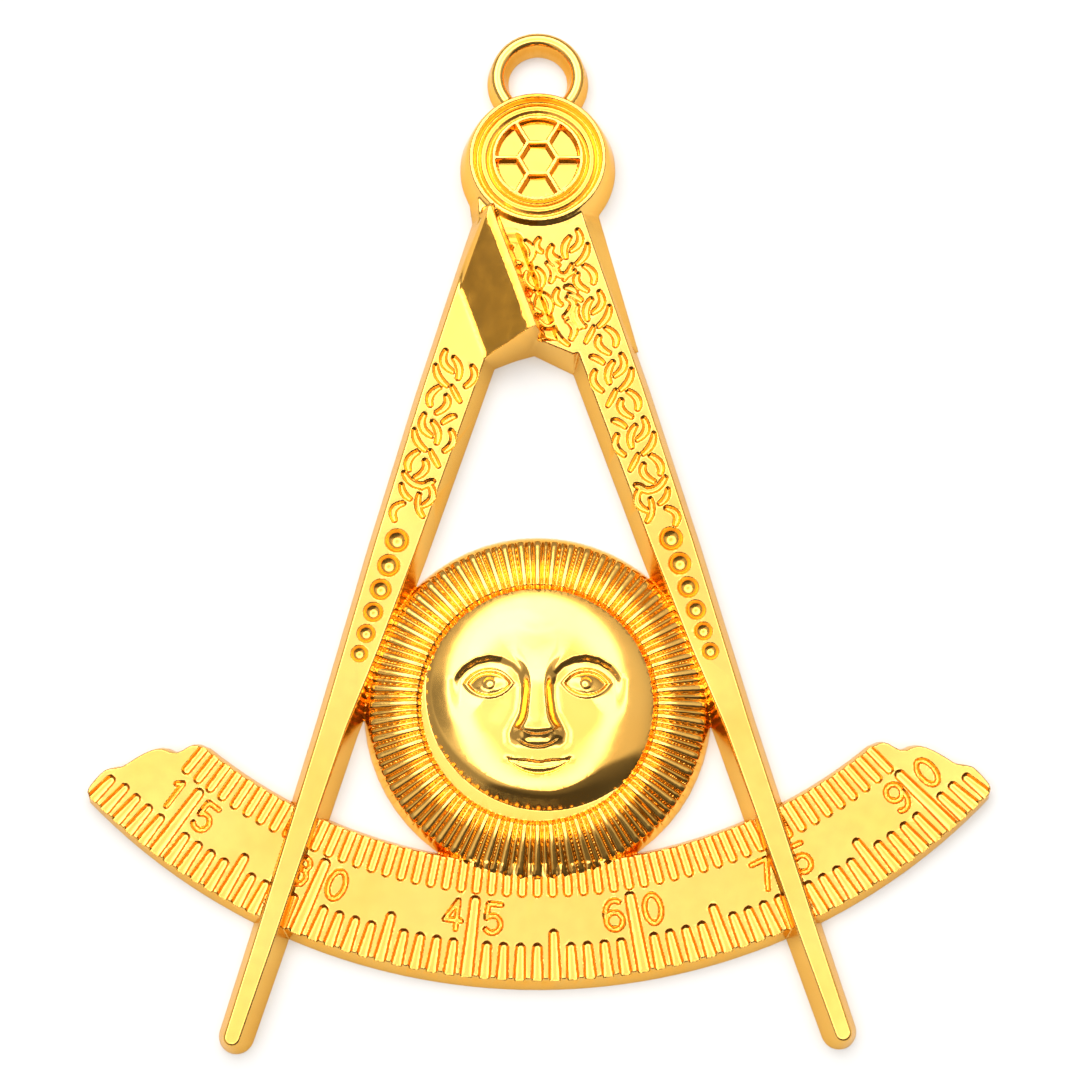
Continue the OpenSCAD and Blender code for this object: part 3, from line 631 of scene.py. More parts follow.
def add_boss(field):
    part, x, y = field.window(-7.6, 7.6, -7.6, 7.6)
    r = np.hypot(x, y)
    height = eased(BOSS_PROFILE, r)
    height = np.where(r > BOSS_PROFILE[0][0], BELOW, height)
    rim = (CELL_R + BOSS_PROFILE[-1][0]) / 2 + 0.1
    inside_ring = CELL_R - r
    hexagon = np.full(x.shape, -9.0)
    spokes = np.full(x.shape, 9.0)
    for i in range(SPOKES):
        a = 2 * math.pi * i / SPOKES
        half = a + math.pi / SPOKES
        hexagon = np.maximum(hexagon, x * math.cos(half) + y * math.sin(half))
        along = x * math.cos(a) + y * math.sin(a)
        across = np.abs(x * math.sin(a) - y * math.cos(a))
        spokes = np.minimum(spokes, np.where(along > 0, across, 9.0))
    hub = HUB_R * math.cos(math.pi / SPOKES)
    hub_band = np.abs(hexagon - hub + HUB_WALL / 2) - HUB_WALL / 2
    spoke_band = np.where(hexagon > hub - HUB_WALL / 2, spokes - SPOKE_W / 2, 9.0)
    open_cell = np.minimum(np.minimum(hub_band, spoke_band), inside_ring)
    wheel = WHEEL_H - (WHEEL_H - CELL_H) * smooth_step(-0.03, 0.2, open_cell)
    height = np.where(r < rim, np.minimum(wheel, WHEEL_H), height)
    field.join(part, height, 0.45)
    middle = r < BOSS_PROFILE[4][0]
    field.z[part] = np.where(middle, height, field.z[part])
    # Painted shade in the channel round the wheel, and lighter painted shade in the wheel's open cells
    channel = smooth_step(4.1, 4.3, r) * smooth_step(5.6, 5.4, r)
    field.mark(part, 0.75 * channel)
    field.mark(part, np.where(r < CELL_R, 0.35 * smooth_step(-0.03, 0.2, open_cell), 0.0))


def add_loop(field):
    part, x, y = field.window(-5.4, 5.4, LOOP_Y - 5.4, LOOP_Y + 5.3)
    r = np.hypot(x, y - LOOP_Y)
    outer = rounded_wall(LOOP_BASE_R - r, LOOP_OUT_RUN, LOOP_H, 0.15)
    inner = rounded_wall(r - LOOP_HOLE_R, LOOP_IN_RUN, LOOP_H, 0.1)
    base = np.minimum(outer, inner)
    wire = LOOP_WIRE_R ** 2 - (r - LOOP_RING_R) ** 2
    ring = np.where(wire > 0, LOOP_H + np.sqrt(np.maximum(wire, 0.0)), BELOW)
    height = np.where(base > LOOP_H * 0.8, smooth_max(base, ring, 0.12), base)
    # Painted shade on the sloping wall round the hole
    field.mark(part, 0.9 * smooth_step(LOOP_HOLE_R + LOOP_IN_RUN + 0.15, LOOP_HOLE_R + LOOP_IN_RUN, r))
    over_boss = np.hypot(x, y) < BOSS_BASE_R - 1.4
    field.join(part, np.where(over_boss, BELOW, height), 0.35)


# Sector

def end_angle(way):
    return ARC_HALF_ANGLE + (RIGHT_END_TURN if way > 0 else 0.0)


def sector_outline(foot):
    """The sector's outline at the face for foot 0 and at the back for foot 1."""
    left = -end_angle(-1) - OUTER_CORNER
    right = end_angle(1) + OUTER_CORNER
    points = []
    for a in np.linspace(left, right, 61):
        share = (1 - math.cos(math.radians(a))) / (1 - math.cos(math.radians(right)))
        run = ARC_OUT_RUN + (ARC_OUT_RUN_END - ARC_OUT_RUN) * share
        points.append(below(ARC_OUT_R + foot * run, a))
    points += end_line(1, foot)[::-1]
    for a in np.linspace(end_angle(1), -end_angle(-1), 61):
        points.append(below(ARC_IN_R - foot * ARC_IN_RUN, a))
    points += end_line(-1, foot)
    return points


def end_line(way, foot):
    """One shaped end, from the inner corner to the outer."""
    face = [
        below(ARC_IN_R + (ARC_OUT_R - ARC_IN_R) * share, way * (end_angle(way) + past))
        for share, past in END_SHAPE
    ]
    line = []
    for k, (x, y) in enumerate(face):
        before = face[max(k - 1, 0)]
        after = face[min(k + 1, len(face) - 1)]
        dx = after[0] - before[0]
        dy = after[1] - before[1]
        size = math.hypot(dx, dy)
        share = END_SHAPE[k][0]
        run = (ARC_IN_RUN + (ARC_END_RUN - ARC_IN_RUN) * share) * foot * way
        line.append((x - run * dy / size, y + run * dx / size))
    return line


def tick_angle(i):
    """Angle of an outer tick, counted from the first mark."""
    last = len(MARKS) - 1
    if i < 0:
        return MARKS[0][0] + i * TICK_PITCH
    if i > last * MARK_STEP:
        return MARKS[last][0] + (i - last * MARK_STEP) * TICK_PITCH
    k = min(last - 1, i // MARK_STEP)
    share = i / MARK_STEP - k
    return MARKS[k][0] * (1 - share) + MARKS[k + 1][0] * share


def sink_tick(field, angle, inner, outer, width, flare):
    """A hollow slot with one round end; the other end is open past an edge."""
    lean = math.radians(angle + np.interp(angle, *zip(*TICK_LEAN)))
    middle = (max(inner, ARC_IN_R) + min(outer, ARC_OUT_R)) / 2
    cx, cy = below(middle, angle)
    reach = (outer - inner) / 2 + 1.2
    part, x, y = field.window(cx - reach, cx + reach, cy - reach, cy + reach)
    r = middle + (x - cx) * math.sin(lean) - (y - cy) * math.cos(lean)
    across = (x - cx) * math.cos(lean) + (y - cy) * math.sin(lean)
    if outer > ARC_OUT_R:
        root = inner + width / 2
        half = width / 2 + flare / 2 * np.clip((r - root) / (outer - root), 0.0, 1.0)
        gap = np.where(r < root, np.hypot(r - root, across) - half, np.abs(across) - half)
        gap = np.maximum(gap, r - outer)
    else:
        root = outer - width / 2
        half = width / 2
        gap = np.where(r > root, np.hypot(r - root, across) - half, np.abs(across) - half)
        gap = np.maximum(gap, inner - r)
    hollow = 0.75 + 0.25 * (1 - np.clip(1 + gap / half, 0.0, 1.0) ** 2)
    share = smooth_step(TICK_SOFT, -TICK_SOFT, gap)
    # The tick is sunk, and painted shade goes into it
    field.sink(part, ARC_H - TICK_DEPTH * hollow, share, 0.3)


def digit_lines(n):
    """Strokes of a numeral about its middle, as lines of points."""
    w = DIGIT_W / 2 - DIGIT_STROKE / 2
    h = DIGIT_H / 2 - DIGIT_STROKE / 2

    def arc(cx, cy, rx, ry, start, end, count=25):
        return [
            (cx + rx * math.cos(math.radians(a)), cy + ry * math.sin(math.radians(a)))
            for a in np.linspace(start, end, count)
        ]

    low = h * 0.6
    lines = {
        0: [arc(0, 0, w, h, 0, 360)],
        1: [[(-0.35, h - 0.35), (0.1, h), (0.1, -h)]],
        3: [arc(0, h - h * 0.47, w * 0.9, h * 0.47, 150, -75), arc(0, low - h, w, low, 80, -150)],
        4: [[(0.3, -h), (0.3, h), (-w, -h * 0.4), (w, -h * 0.4)]],
        5: [[(w * 0.85, h), (-w * 0.7, h), (-w * 0.8, h * 0.12)], arc(0, low - h, w, low, 140, -140)],
        6: [arc(0, low - h, w, low, 0, 360), arc(0.15, 0, w + 0.15, h, 60, 185)],
        7: [[(-w, h), (w, h), (-0.25, -h)]],
        9: [arc(0, h - low, w, low, 0, 360), arc(-0.15, 0, w + 0.15, h, -120, 5)],
    }
    return lines[n]


def sink_digit(field, n, angle, gap):
    a = math.radians(angle)
    cx, cy = below(DIGIT_R, angle)
    cx += gap * math.cos(a)
    cy += gap * math.sin(a)
    part, x, y = field.window(cx - 2, cx + 2, cy - 2, cy + 2)
    u = (x - cx) * math.cos(a) + (y - cy) * math.sin(a)
    v = (y - cy) * math.cos(a) - (x - cx) * math.sin(a)
    nearest = np.full(x.shape, 9.0)
    for line in digit_lines(n):
        nearest = np.minimum(nearest, to_line(u, v, line))
    gap_to_edge = nearest - DIGIT_STROKE / 2
    share = smooth_step(TICK_SOFT, -TICK_SOFT, gap_to_edge)
    # The numeral is sunk, and painted shade goes into it
    field.sink(part, ARC_H - TICK_DEPTH * 0.85, share, 0.7)


def add_sector(field):
    part, x, y = field.window(-HALF_WIDTH, HALF_WIDTH, -73.0, -50.0)
    back = to_outline(x, y, sector_outline(1))
    face = to_outline(x, y, sector_outline(0))
    run = np.maximum(back - face, 0.1)
    field.z[part] = np.maximum(field.z[part], rounded_wall(back, run, ARC_H, ARC_EDGE))
    last = (len(MARKS) - 1) * MARK_STEP + TICKS_AFTER
    for i in range(-TICKS_BEFORE, last + 1):
        long = i % MARK_STEP == 0
        length = LONG_LEN if long else MID_LEN if i % 5 == 0 else TICK_LEN
        if i in (-TICKS_BEFORE, last):
            length = TICK_LEN - 0.3
        width = TICK_W + (0.1 if long else 0.0)
        sink_tick(field, tick_angle(i), ARC_OUT_R - length, ARC_OUT_R + 0.25, width, TICK_FLARE)
    for i in range(INNER_FIRST, INNER_LAST + 1):
        angle = INNER_MIDDLE + i * INNER_PITCH
        sink_tick(field, angle, ARC_IN_R - 0.1, ARC_IN_R + INNER_LEN, TICK_W, 0.0)
    for angle, left, right in MARKS:
        sink_digit(field, left, angle, -DIGIT_GAP)
        sink_digit(field, right, angle, DIGIT_GAP)


# Sun

def ray_height(r, angle):
    """Height of the ray band by radius and angle, and how deep in a groove each point lies."""
    period = 360.0 / RAY_COUNT
    phase = np.mod(angle / period + 0.5, 1.0) - 0.5
    crest = eased(RAY_CREST, r)
    around = period * math.pi / 180 * r
    side = np.abs(phase) * around
    edge = BROAD_SHARE / 2 * around
    half = around / 2
    broad = np.maximum(1 - np.abs(side / edge) ** 3, 0.0) ** 0.9 * RAY_DEPTH
    thin = np.maximum(1 - np.abs((half - side) / (half - edge)) ** 2, 0.0) * RAY_DEPTH
    fade = 1 - RAY_FADE * smooth_step(RAY_FADE_START, RAY_FADE_END, r)
    relief = np.maximum(broad, thin * THIN_RAY)
    groove = (1.0 - relief / RAY_DEPTH) * fade
    return crest + (relief - RAY_DEPTH) * fade, groove


def dome_height(x, y):
    """The face's pillow: an even dome, cut short by the steep jaw below."""
    dy = (y - DOME_Y) * (1 - 0.2 * smooth_step(2.0, -5.0, y))
    share = np.clip(np.hypot(x - DOME_X, dy) / DOME_R, 0.0, 1.0)
    dome = FACE_MARGIN_H + (FACE_TOP_H - FACE_MARGIN_H) * (1 - share ** DOME_POWER)
    slope = JAW_SLOPE - JAW_SLOPE_DROP * smooth_step(0.5, 6.0, x)
    jaw = FACE_MARGIN_H + (JAW_R - np.hypot(x - JAW_X, y - JAW_Y)) * slope
    return smooth_min(dome, jaw, 0.3)


def add_eye(z, side, y):
    """Almond eye with a raised lid, its ball and the iris."""
    dx = side - EYE_X
    dy = y - EYE_Y
    arc = (EYE_HALF ** 2 + EYE_RISE ** 2) / (2 * EYE_RISE)
    shift = arc - EYE_RISE
    inside = np.minimum(arc - np.hypot(dx, dy + shift), arc - np.hypot(dx, dy - shift))
    z = z + LID_RISE * np.exp(-((inside + 0.12) / 0.15) ** 2)
    z = z - EYE_DEPTH * smooth_step(-0.05, 0.13, inside)
    ball = np.maximum(1 - (dx / 1.5) ** 2 - (dy / 1.0) ** 2, 0.0)
    z = z + BALL_RISE * ball * smooth_step(0.0, 0.3, inside)
    iris = np.hypot(dx + 0.02, dy)
    return z + IRIS_RISE * np.maximum(1 - (iris / IRIS_R) ** 2, 0.0) ** 0.7


def add_nose(z, x, y):
    """A long broad ridge with a ball at its tip and a wing on each side."""
    side = np.abs(x)
    wide = eased(NOSE_WIDTHS, y)
    high = eased(NOSE_HEIGHTS, y - TIP_ROUND * np.minimum(side, 1.7) ** 2)
    share = np.clip(side / wide, 0.0, 1.2)
    z = z + high * (0.84 * (1 - smooth_step(0.5, 1.1, share)) + 0.16 * np.maximum(1 - share ** 2, 0.0))
    # Ball tip, wings and nostrils
    z = z + 0.12 * bump(x, y, 0.0, -2.05, 0.8, 0.7)
    z = z + 0.16 * bump(side, y, 1.45, -2.7, 0.5, 0.6)
    return z - 0.10 * bump(side, y, 0.75, -3.1, 0.24, 0.18)


def add_mouth(z, x, y):
    """A small closed smile: a shallow lens-shaped hollow with the lower lip rolled up in it."""
    dx = x - MOUTH_X
    u = np.clip(np.abs(dx) / MOUTH_HALF, 0.0, 1.0)
    top = MOUTH_TOP + 0.06 * u ** 2 - 0.16 * np.exp(-(u / 0.20) ** 2)
    low = MOUTH_FOOT + 1.10 * u ** 2.2
    inside = np.where(np.abs(dx) < MOUTH_HALF, np.minimum(top - y, y - low), -0.5)
    z = z - MOUTH_DEPTH * smooth_step(-0.08, 0.16, inside)
    roll = np.exp(-((y - (low + 0.42 * (1 - u ** 2) + 0.06)) / 0.30) ** 2)
    z = z + LIP_RISE * roll * smooth_step(0.0, 0.2, inside)
    return z - 0.08 * bump(np.abs(dx), y, MOUTH_HALF + 0.05, -4.75, 0.30, 0.22)


def face_height(x, y):
    """Height of the face's disc, in the sun's own frame."""
    z = smooth_max(dome_height(x, y), np.full(x.shape, FACE_MARGIN_H), 0.06)
    side = np.abs(x)
    # The hollow under each brow and beside the nose, steep at its edge and fading into the cheek
    hollow = to_outline(side, y, ORBIT)
    outer = smooth_step(1.8, 4.2, side) * smooth_step(7.5, 6.3, side)
    fade = smooth_step(-4.2, 0.8, y - 0.3 * side) * smooth_step(7.5, 6.3, side)
    deep = (BROW_DEPTH + BROW_DEPTH_MORE * outer) * smooth_step(-0.08, 0.50 + 0.16 * outer, hollow)
    z = z - deep * fade * (1 - 0.8 * smooth_step(0.6, 4.2, hollow))
    foot = smooth_step(-4.4, -3.4, y) * smooth_step(2.2, 1.2, y) * smooth_step(3.4, 2.6, side)
    z = z - 0.14 * np.exp(-((hollow - 0.3) / 0.4) ** 2) * foot
    # Cheeks and chin
    z = z + 0.05 * bump(side, y, 4.6, -2.6, 2.6, 2.4)
    z = z + 0.06 * bump(x, y, 0.1, -6.3, 2.4, 1.0)
    z = add_nose(z, x, y)
    z = add_eye(z, side, y)
    return add_mouth(z, x, y)


def add_sun(field):
    reach = SUN_BASE_R + 0.6
    part, x, y = field.window(-reach, reach, SUN_Y - reach, SUN_Y + reach)
    dy = y - SUN_Y
    r = np.hypot(x, dy)
    angle = np.degrees(np.arctan2(x, dy))
    rays, groove = ray_height(r, angle)
    wall = (FACE_R + 0.06 - r) * DISC_WALL_SLOPE + 1.6
    disc = np.where(r < FACE_R + 0.3, smooth_min(face_height(x, dy), wall, 0.12), BELOW)
    under = np.where(r > FACE_R - 0.5, rays, BELOW)
    height = np.where(r < FACE_R + 0.3, np.maximum(disc, under), rays)
    field.join(part, height, 0.5)
    # Painted shade in the grooves between the rays, and a painted shadow line round the foot of the
    # face's disc
    shown = (height > field.z[part] - 0.05) & (r > FACE_R)
    field.mark(part, np.where(shown, 0.8 * groove, 0.0))
    field.mark(part, 0.8 * np.exp(-((r - FACE_R - 0.05) / 0.1) ** 2) * (field.z[part] < 3.0))


# Mesh

def cut_mesh(field):
    """Triangles of the field where it stands above the back plane, cut where it meets the plane."""
    rows, cols = field.z.shape
    z = field.z.ravel()
    index = np.arange(rows * cols).reshape(rows, cols)
    a = index[:-1, :-1].ravel()
    b = index[:-1, 1:].ravel()
    c = index[1:, 1:].ravel()
    d = index[1:, :-1].ravel()
    # The diagonal follows the smaller change of height, so that edges stay crisp
    swap = np.abs(z[a] - z[c]) > np.abs(z[b] - z[d])
    first = np.where(swap[:, None], np.stack([a, b, d], 1), np.stack([a, b, c], 1))
    second = np.where(swap[:, None], np.stack([b, c, d], 1), np.stack([a, c, d], 1))
    triangles = np.concatenate([first, second])
    up = z[triangles] > 0
    count = up.sum(1)
    whole = triangles[count == 3]
    # Corner keys: a pair of equal grid points is the point itself, a pair of two is a cut edge
    faces = [np.stack([whole, whole], 2)]
    for k in range(3):
        p, q, r = (triangles[:, (k + j) % 3] for j in range(3))
        up_p, up_q, up_r = (up[:, (k + j) % 3] for j in range(3))
        one = (count == 1) & up_p
        faces.append(corner_keys([(p, p), (p, q), (p, r)], one))
        two = (count == 2) & ~up_p
        faces.append(corner_keys([(q, q), (r, r), (p, q)], two))
        faces.append(corner_keys([(r, r), (p, r), (p, q)], two))
    keys = np.concatenate(faces)
    low = keys.min(2)
    high = keys.max(2)
    code = low.astype(np.int64) * z.size + high
    unique, faces = np.unique(code.ravel(), return_inverse=True)
    low = unique // z.size
    high = unique % z.size
    gx, gy = np.meshgrid(field.xs, field.ys)
    gx = gx.ravel()
    gy = gy.ravel()
    drop = z[low] - z[high]
    share = np.where(low == high, 0.0, z[low] / np.where(drop == 0, 1.0, drop))
    share = np.where(low == high, 0.0, np.clip(share, 0.03, 0.97))
    points = np.stack([
        gx[low] + (gx[high] - gx[low]) * share,
        gy[low] + (gy[high] - gy[low]) * share,
        np.where(low == high, z[low], 0.0),
    ], 1)
    return points, faces.reshape(-1, 3)


def corner_keys(pairs, chosen):
    """Three corners of each chosen triangle, each as a pair of grid points."""
    return np.stack([np.stack([p[chosen], q[chosen]], 1) for p, q in pairs], 1)


def main_piece(faces, total):
    """Marks the triangles of the largest connected piece."""
    label = np.arange(total)
    while True:
        lowest = label[faces].min(1)
        before = label.copy()
        for k in range(3):
            np.minimum.at(label, faces[:, k], lowest)
        label = label[label]
        if np.array_equal(label, before):
            break
    labels, sizes = np.unique(label[faces[:, 0]], return_counts=True)
    return label[faces[:, 0]] == labels[sizes.argmax()]


def closed_mesh(name, points, faces):
    """Adds a flat back to the cut surface, as a mesh in metres in the row's frame."""
    total = len(points)
    back = points.copy()
    back[:, 2] = 0.0
    rim = points[:, 2] == 0.0
    back_index = np.where(rim, np.arange(total), -1)
    inner = np.flatnonzero(~rim)
    back_index[inner] = total + np.arange(len(inner))
    points = np.concatenate([points, back[inner]])
    faces = np.concatenate([faces, back_index[faces][:, ::-1]])
    points = (points + (0.0, BOSS_Y, 0.0)) * 0.001
    mesh = bpy.data.meshes.new(name)
    mesh.vertices.add(len(points))
    mesh.vertices.foreach_set("co", points.astype(np.float32).ravel())
    mesh.loops.add(len(faces) * 3)
    mesh.loops.foreach_set("vertex_index", faces.astype(np.int32).ravel())
    mesh.polygons.add(len(faces))
    mesh.polygons.foreach_set("loop_start", np.arange(0, len(faces) * 3, 3, dtype=np.int32))
    mesh.update(calc_edges=True)
    mesh.validate()
    return mesh


def thinned(mesh, most):
    """The mesh with at most that many triangles."""
    obj = bpy.data.objects.new("thinning", mesh)
    bpy.context.scene.collection.objects.link(obj)
    fewer = obj.modifiers.new("fewer", "DECIMATE")
    fewer.ratio = most / len(mesh.polygons)
    fewer.use_collapse_triangulate = True
    bpy.context.view_layer.update()
    done = bpy.data.meshes.new_from_object(obj.evaluated_get(bpy.context.evaluated_depsgraph_get()))
    bpy.data.objects.remove(obj)
    bpy.data.meshes.remove(mesh)
    return done


def sampled(grid, field, x, y):
    """Values of a grid at places between its points."""
    u = np.clip((x - field.xs[0]) / STEP, 0, len(field.xs) - 1.001)
    v = np.clip((y - field.ys[0]) / STEP, 0, len(field.ys) - 1.001)
    i = u.astype(int)
    j = v.astype(int)
    u = u - i
    v = v - j
    low = grid[j, i] * (1 - u) + grid[j, i + 1] * u
    high = grid[j + 1, i] * (1 - u) + grid[j + 1, i + 1] * u
    return low * (1 - v) + high * v


def field_normals(slope_x, slope_y, field, x, y):
    """Unit normals of the height field at some places."""
    normals = np.stack([
        -sampled(slope_x, field, x, y), -sampled(slope_y, field, x, y), np.ones(len(x)),
    ], 1)
    return normals / np.linalg.norm(normals, axis=1)[:, None]


def dress(mesh, field):
    """Smooth normals from the height field, each point's share of painted shade, and its share of
    satin finish, which also paints the flats a darker gold as shade.
    """
    points = np.empty(len(mesh.vertices) * 3, np.float32)
    mesh.vertices.foreach_get("co", points)
    points = points.reshape(-1, 3).astype(float) * 1000
    x = points[:, 0]
    y = points[:, 1] - BOSS_Y
    slope_y, slope_x = np.gradient(field.z, STEP)
    normals = field_normals(slope_x, slope_y, field, x, y)
    corners = np.empty(len(mesh.loops), np.int32)
    mesh.loops.foreach_get("vertex_index", corners)
    flat = np.empty(len(mesh.polygons) * 3, np.float32)
    mesh.polygons.foreach_get("normal", flat)
    flat = np.repeat(flat.reshape(-1, 3), 3, 0)
    chosen = normals[corners]
    # Where a triangle ends on a rounded edge, its normal is read a little way inside the triangle
    place = np.stack([x, y], 1)[corners]
    middle = np.repeat(place.reshape(-1, 3, 2).mean(1), 3, 0)
    large = np.hypot(*(place - middle).T) > 2.5 * STEP
    for share, cosine in ((0.3, 0.996), (0.6, 0.985)):
        inner = place + (middle - place) * share
        nudged = field_normals(slope_x, slope_y, field, inner[:, 0], inner[:, 1])
        turned = (chosen * flat).sum(1) < np.where(large, 0.9997, cosine)
        chosen = np.where(turned[:, None], nudged, chosen)
    # The back keeps its own normal, and so does a wall that leans too far from its smooth one
    own = (flat[:, 2] < 0.02) | ((chosen * flat).sum(1) < 0.8)
    chosen = np.where(own[:, None], flat, chosen)
    mesh.polygons.foreach_set("use_smooth", np.ones(len(mesh.polygons), bool))
    mesh.normals_split_custom_set(chosen.tolist())
    # Painted shade read from the field, none near the back plane
    deep = np.where(points[:, 2] > 0.3, sampled(field.painted_shade, field, x, y), 0.0)
    add_values(mesh, "painted_shade", np.clip(deep, 0.0, 1.0))
    # Satin covers the flats: a rougher finish, and a darker gold that is painted shade; the sun, boss,
    # loop, facet and painted-shade hollows stay polished
    sun = smooth_step(SUN_BASE_R + 0.4, SUN_BASE_R, np.hypot(x, y - SUN_Y))
    boss = smooth_step(BOSS_BASE_R + 0.4, BOSS_BASE_R, np.hypot(x, y))
    loop = smooth_step(LOOP_Y - 3.0, LOOP_Y - 2.0, y)
    facet = smooth_step(-0.3, 0.1, to_outline(x, y, [RIDGE_TOP, RIDGE_FOOT, FACET_FOOT, FACET_SIDE]))
    polished = np.maximum(np.maximum(sun, facet), np.maximum(boss, loop))
    add_values(mesh, "satin_and_shade", (1.0 - polished) * (1.0 - np.clip(deep, 0.0, 1.0)))


def add_values(mesh, name, values):
    layer = mesh.attributes.new(name, "FLOAT", "POINT")
    layer.data.foreach_set("value", values.astype(np.float32))


# Gold

def link(tree, source, target):
    tree.links.new(source, target)


def mix_color(tree, factor, low, high):
    """A node that mixes two colours or links by a factor, and its output."""
    node = tree.nodes.new("ShaderNodeMix")
    node.data_type = "RGBA"
    link(tree, factor, node.inputs[0])
    for socket, value in ((node.inputs[6], low), (node.inputs[7], high)):
        if isinstance(value, tuple):
            socket.default_value = value
        else:
            link(tree, value, socket)
    return node.outputs[2]


def map_range(tree, source, low, high, to_low, to_high, way="LINEAR"):
    """Carries a range of values over to another range, evenly."""
    node = tree.nodes.new("ShaderNodeMapRange")
    node.interpolation_type = way
    link(tree, source, node.inputs[0])
    for socket, value in zip(list(node.inputs)[1:5], (low, high, to_low, to_high)):
        socket.default_value = value
    return node.outputs[0]


def soft_step(tree, source, low, high, to_low, to_high):
    """The same with soft ends."""
    return map_range(tree, source, low, high, to_low, to_high, "SMOOTHSTEP")


def noise(tree, place, scale, detail):
    node = tree.nodes.new("ShaderNodeTexNoise")
    link(tree, place, node.inputs["Vector"])
    node.inputs["Scale"].default_value = scale
    node.inputs["Detail"].default_value = detail
    return node.outputs[0]


def attribute(tree, name):
    node = tree.nodes.new("ShaderNodeAttribute")
    node.attribute_name = name
    return node.outputs["Fac"]


def combine(tree, operation, first, second):
    """The sum or product of two links."""
    node = tree.nodes.new("ShaderNodeMath")
    node.operation = operation
    link(tree, first, node.inputs[0])
    link(tree, second, node.inputs[1])
    return node.outputs[0]


def gold_material():
    """Gold plate: polished on the sun, boss, loop and facet, satin on the flats and painted a darker
    gold there as shade, with a deep orange painted shade in recesses, grooves and on the facet.
    """
    material = bpy.data.materials.new("gold_plate")
    material.use_nodes = True
    tree = material.node_tree
    shader = tree.nodes["Principled BSDF"]
    shader.inputs["Metallic"].default_value = 1.0
    shader.inputs["Coat Weight"].default_value = 0.3
    shader.inputs["Specular Tint"].default_value = EDGE_TINT
    shader.inputs["Coat Roughness"].default_value = 0.12
    place = tree.nodes.new("ShaderNodeTexCoord").outputs["Object"]
    painted_shade = attribute(tree, "painted_shade")
    satin_and_shade = attribute(tree, "satin_and_shade")
    patches = map_range(tree, noise(tree, place, 130.0, 3.0), 0.35, 0.7, 0.0, 1.0)
    faces = mix_color(tree, patches, FACE_GOLD, WARM_GOLD)
    # Satin flats: a darker copy of the gold, which is painted shade
    faces = mix_color(tree, satin_and_shade, faces, mix_color(tree, patches, SATIN_SHADED_GOLD, WARM_SATIN_SHADED))
    # Painted shade and dark reflection: recesses, grooves and the facet turn a deeper orange gold
    color = mix_color(tree, painted_shade, faces, PAINTED_SHADE_GOLD)
    link(tree, color, shader.inputs["Base Color"])
    fine = map_range(tree, noise(tree, place, 900.0, 4.0), 0.3, 0.7, 0.10, 0.16)
    rough = map_range(tree, satin_and_shade, 0.0, 1.0, 0.0, 0.10)
    link(tree, combine(tree, "ADD", fine, rough), shader.inputs["Roughness"])
    wave = tree.nodes.new("ShaderNodeBump")
    wave.inputs["Strength"].default_value = 0.02
    wave.inputs["Distance"].default_value = 0.0002
    link(tree, noise(tree, place, 420.0, 2.0), wave.inputs["Height"])
    link(tree, wave.outputs[0], shader.inputs["Normal"])
    return material


# Studio

def add_floor():
    mesh = bpy.data.meshes.new("floor")
    size = FLOOR_HALF
    corners = [(-size, -size, 0), (size, -size, 0), (size, size, 0), (-size, size, 0)]
    mesh.from_pydata(corners, [], [(0, 1, 2, 3)])
    floor = bpy.data.objects.new("floor", mesh)
    floor.location.z = -0.00002
    material = bpy.data.materials.new("pale_floor")
    material.use_nodes = True
    shader = material.node_tree.nodes["Principled BSDF"]
    shader.inputs["Base Color"].default_value = FLOOR_GREY
    shader.inputs["Roughness"].default_value = 0.9
    shader.inputs["Specular IOR Level"].default_value = 0.1
    mesh.materials.append(material)
    bpy.context.scene.collection.objects.link(floor)


def add_lamp():
    """One soft round lamp that looks at the jewel's middle."""
    data = bpy.data.lights.new("key", "AREA")
    data.shape = "DISK"
    data.size = LAMP_SIZE
    data.energy = LAMP_POWER
    lamp = bpy.data.objects.new("key", data)
    lamp.location = LAMP_PLACE
    lamp.rotation_euler = (-Vector(LAMP_PLACE)).to_track_quat("-Z", "Y").to_euler()
    bpy.context.scene.collection.objects.link(lamp)


def toward(tree, direction, way):
    """How closely a direction points one way."""
    node = tree.nodes.new("ShaderNodeVectorMath")
    node.operation = "DOT_PRODUCT"
    link(tree, direction, node.inputs[0])
    node.inputs[1].default_value = Vector(way).normalized()
    return node.outputs["Value"]


def vector_math(tree, operation, source, value):
    node = tree.nodes.new("ShaderNodeVectorMath")
    node.operation = operation
    link(tree, source, node.inputs[0])
    node.inputs[1].default_value = value
    return node.outputs[0]


def flat_distance(tree, direction, place, scale):
    """How far a direction points from a place of the tent's roof, seen from straight above."""
    apart = vector_math(tree, "SUBTRACT", direction, place)
    node = tree.nodes.new("ShaderNodeVectorMath")
    node.operation = "LENGTH"
    link(tree, vector_math(tree, "MULTIPLY", apart, (scale, scale, 0.0)), node.inputs[0])
    return node.outputs["Value"]


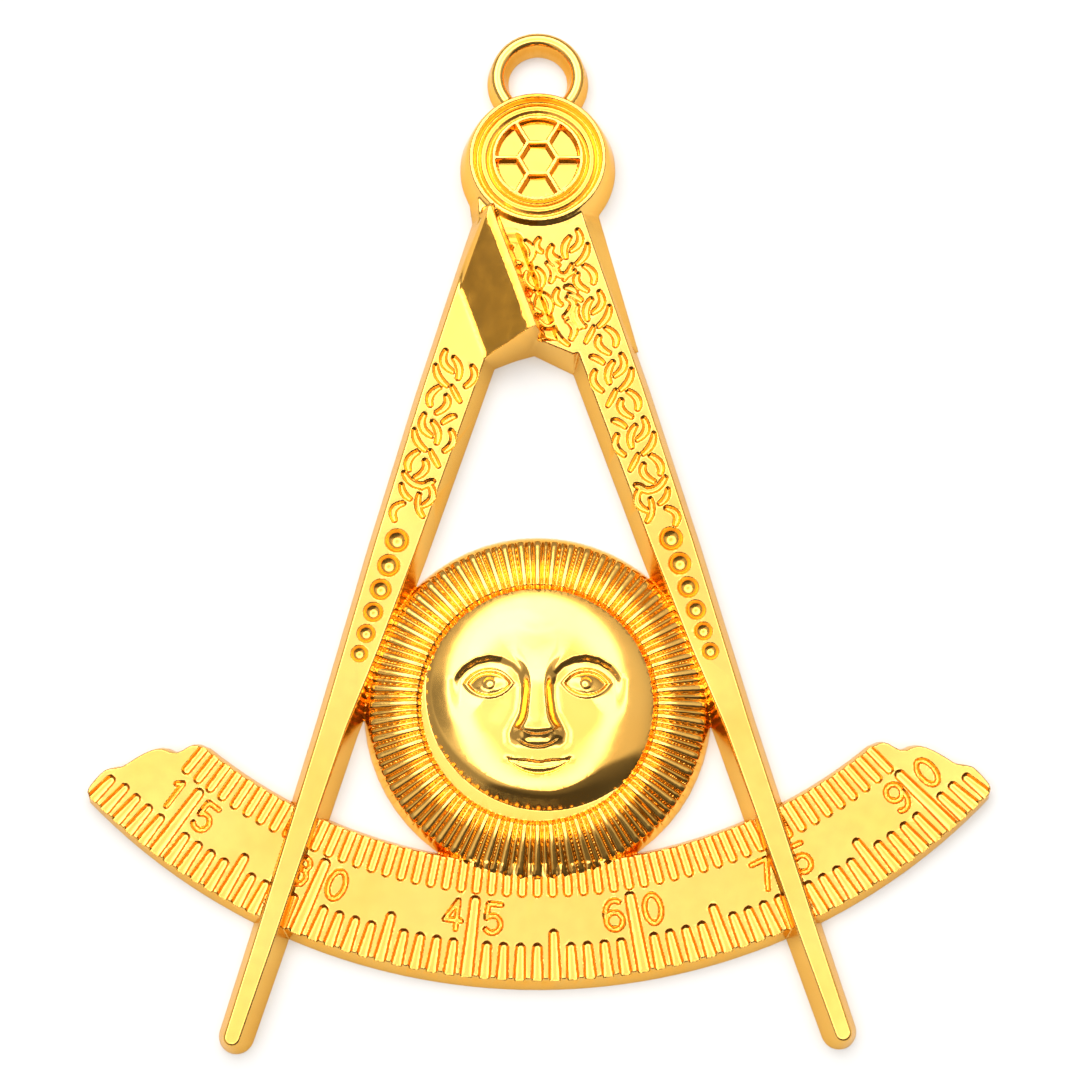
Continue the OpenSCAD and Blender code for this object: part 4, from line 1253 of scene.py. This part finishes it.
def add_world():
    """A round light tent: a bright ring around a softer middle, dim sides, a darker panel to the
    left and a dark near side."""
    world = bpy.data.worlds.new("studio")
    world.use_nodes = True
    tree = world.node_tree
    direction = tree.nodes.new("ShaderNodeTexCoord").outputs["Generated"]
    tent = flat_distance(tree, direction, TENT_PLACE, 1 / TENT_HALF)
    middle = flat_distance(tree, direction, TENT_MIDDLE, 1.0)
    inside = soft_step(tree, middle, 0.26, 0.48, 1.6, 4.8)
    sides = soft_step(tree, toward(tree, direction, (0, 0, 1)), 0.35, 0.72, 0.38, 0.85)
    left = soft_step(tree, toward(tree, direction, PANEL_WAY), 0.975, 0.993, 1.0, 0.42)
    near = soft_step(tree, toward(tree, direction, NEAR_WAY), 0.48, 0.64, 1.0, 0.2)
    outside = combine(tree, "MULTIPLY", combine(tree, "MULTIPLY", sides, left), near)
    edge = soft_step(tree, tent, 0.93, 1.08, 0.0, 1.0)
    blend = tree.nodes.new("ShaderNodeMix")
    link(tree, edge, blend.inputs[0])
    link(tree, inside, blend.inputs[2])
    link(tree, outside, blend.inputs[3])
    background = tree.nodes["Background"]
    link(tree, blend.outputs[0], background.inputs["Strength"])
    background.inputs["Color"].default_value = (1.0, 0.99, 0.97, 1.0)
    bpy.context.scene.world = world


def add_camera():
    data = bpy.data.cameras.new("camera")
    data.lens = CAMERA_LENS
    data.sensor_width = 36.0
    data.clip_start = 0.01
    camera = bpy.data.objects.new("camera", data)
    camera.location = CAMERA_PLACE
    camera.rotation_euler = (math.radians(CAMERA_TILT), 0.0, 0.0)
    bpy.context.scene.collection.objects.link(camera)
    bpy.context.scene.camera = camera


def build_jewel():
    field = Field()
    add_sector(field)
    add_sun(field)
    add_legs(field)
    add_plate(field)
    carve_legs(field)
    add_dimples(field)
    add_loop(field)
    add_shoulder(field)
    add_boss(field)
    points, faces = cut_mesh(field)
    faces = faces[main_piece(faces, len(points))]
    used, faces = np.unique(faces, return_inverse=True)
    mesh = closed_mesh("gold_jewel", points[used], faces.reshape(-1, 3))
    mesh = thinned(mesh, MOST_TRIANGLES)
    mesh.name = "gold_jewel"
    dress(mesh, field)
    mesh.materials.append(gold_material())
    jewel = bpy.data.objects.new("gold_jewel", mesh)
    bpy.context.scene.collection.objects.link(jewel)
    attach(jewel, "root")
    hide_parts("jewel_casting")


build_jewel()
add_floor()
add_world()
add_lamp()
add_camera()
bpy.context.scene.view_settings.view_transform = "Standard"
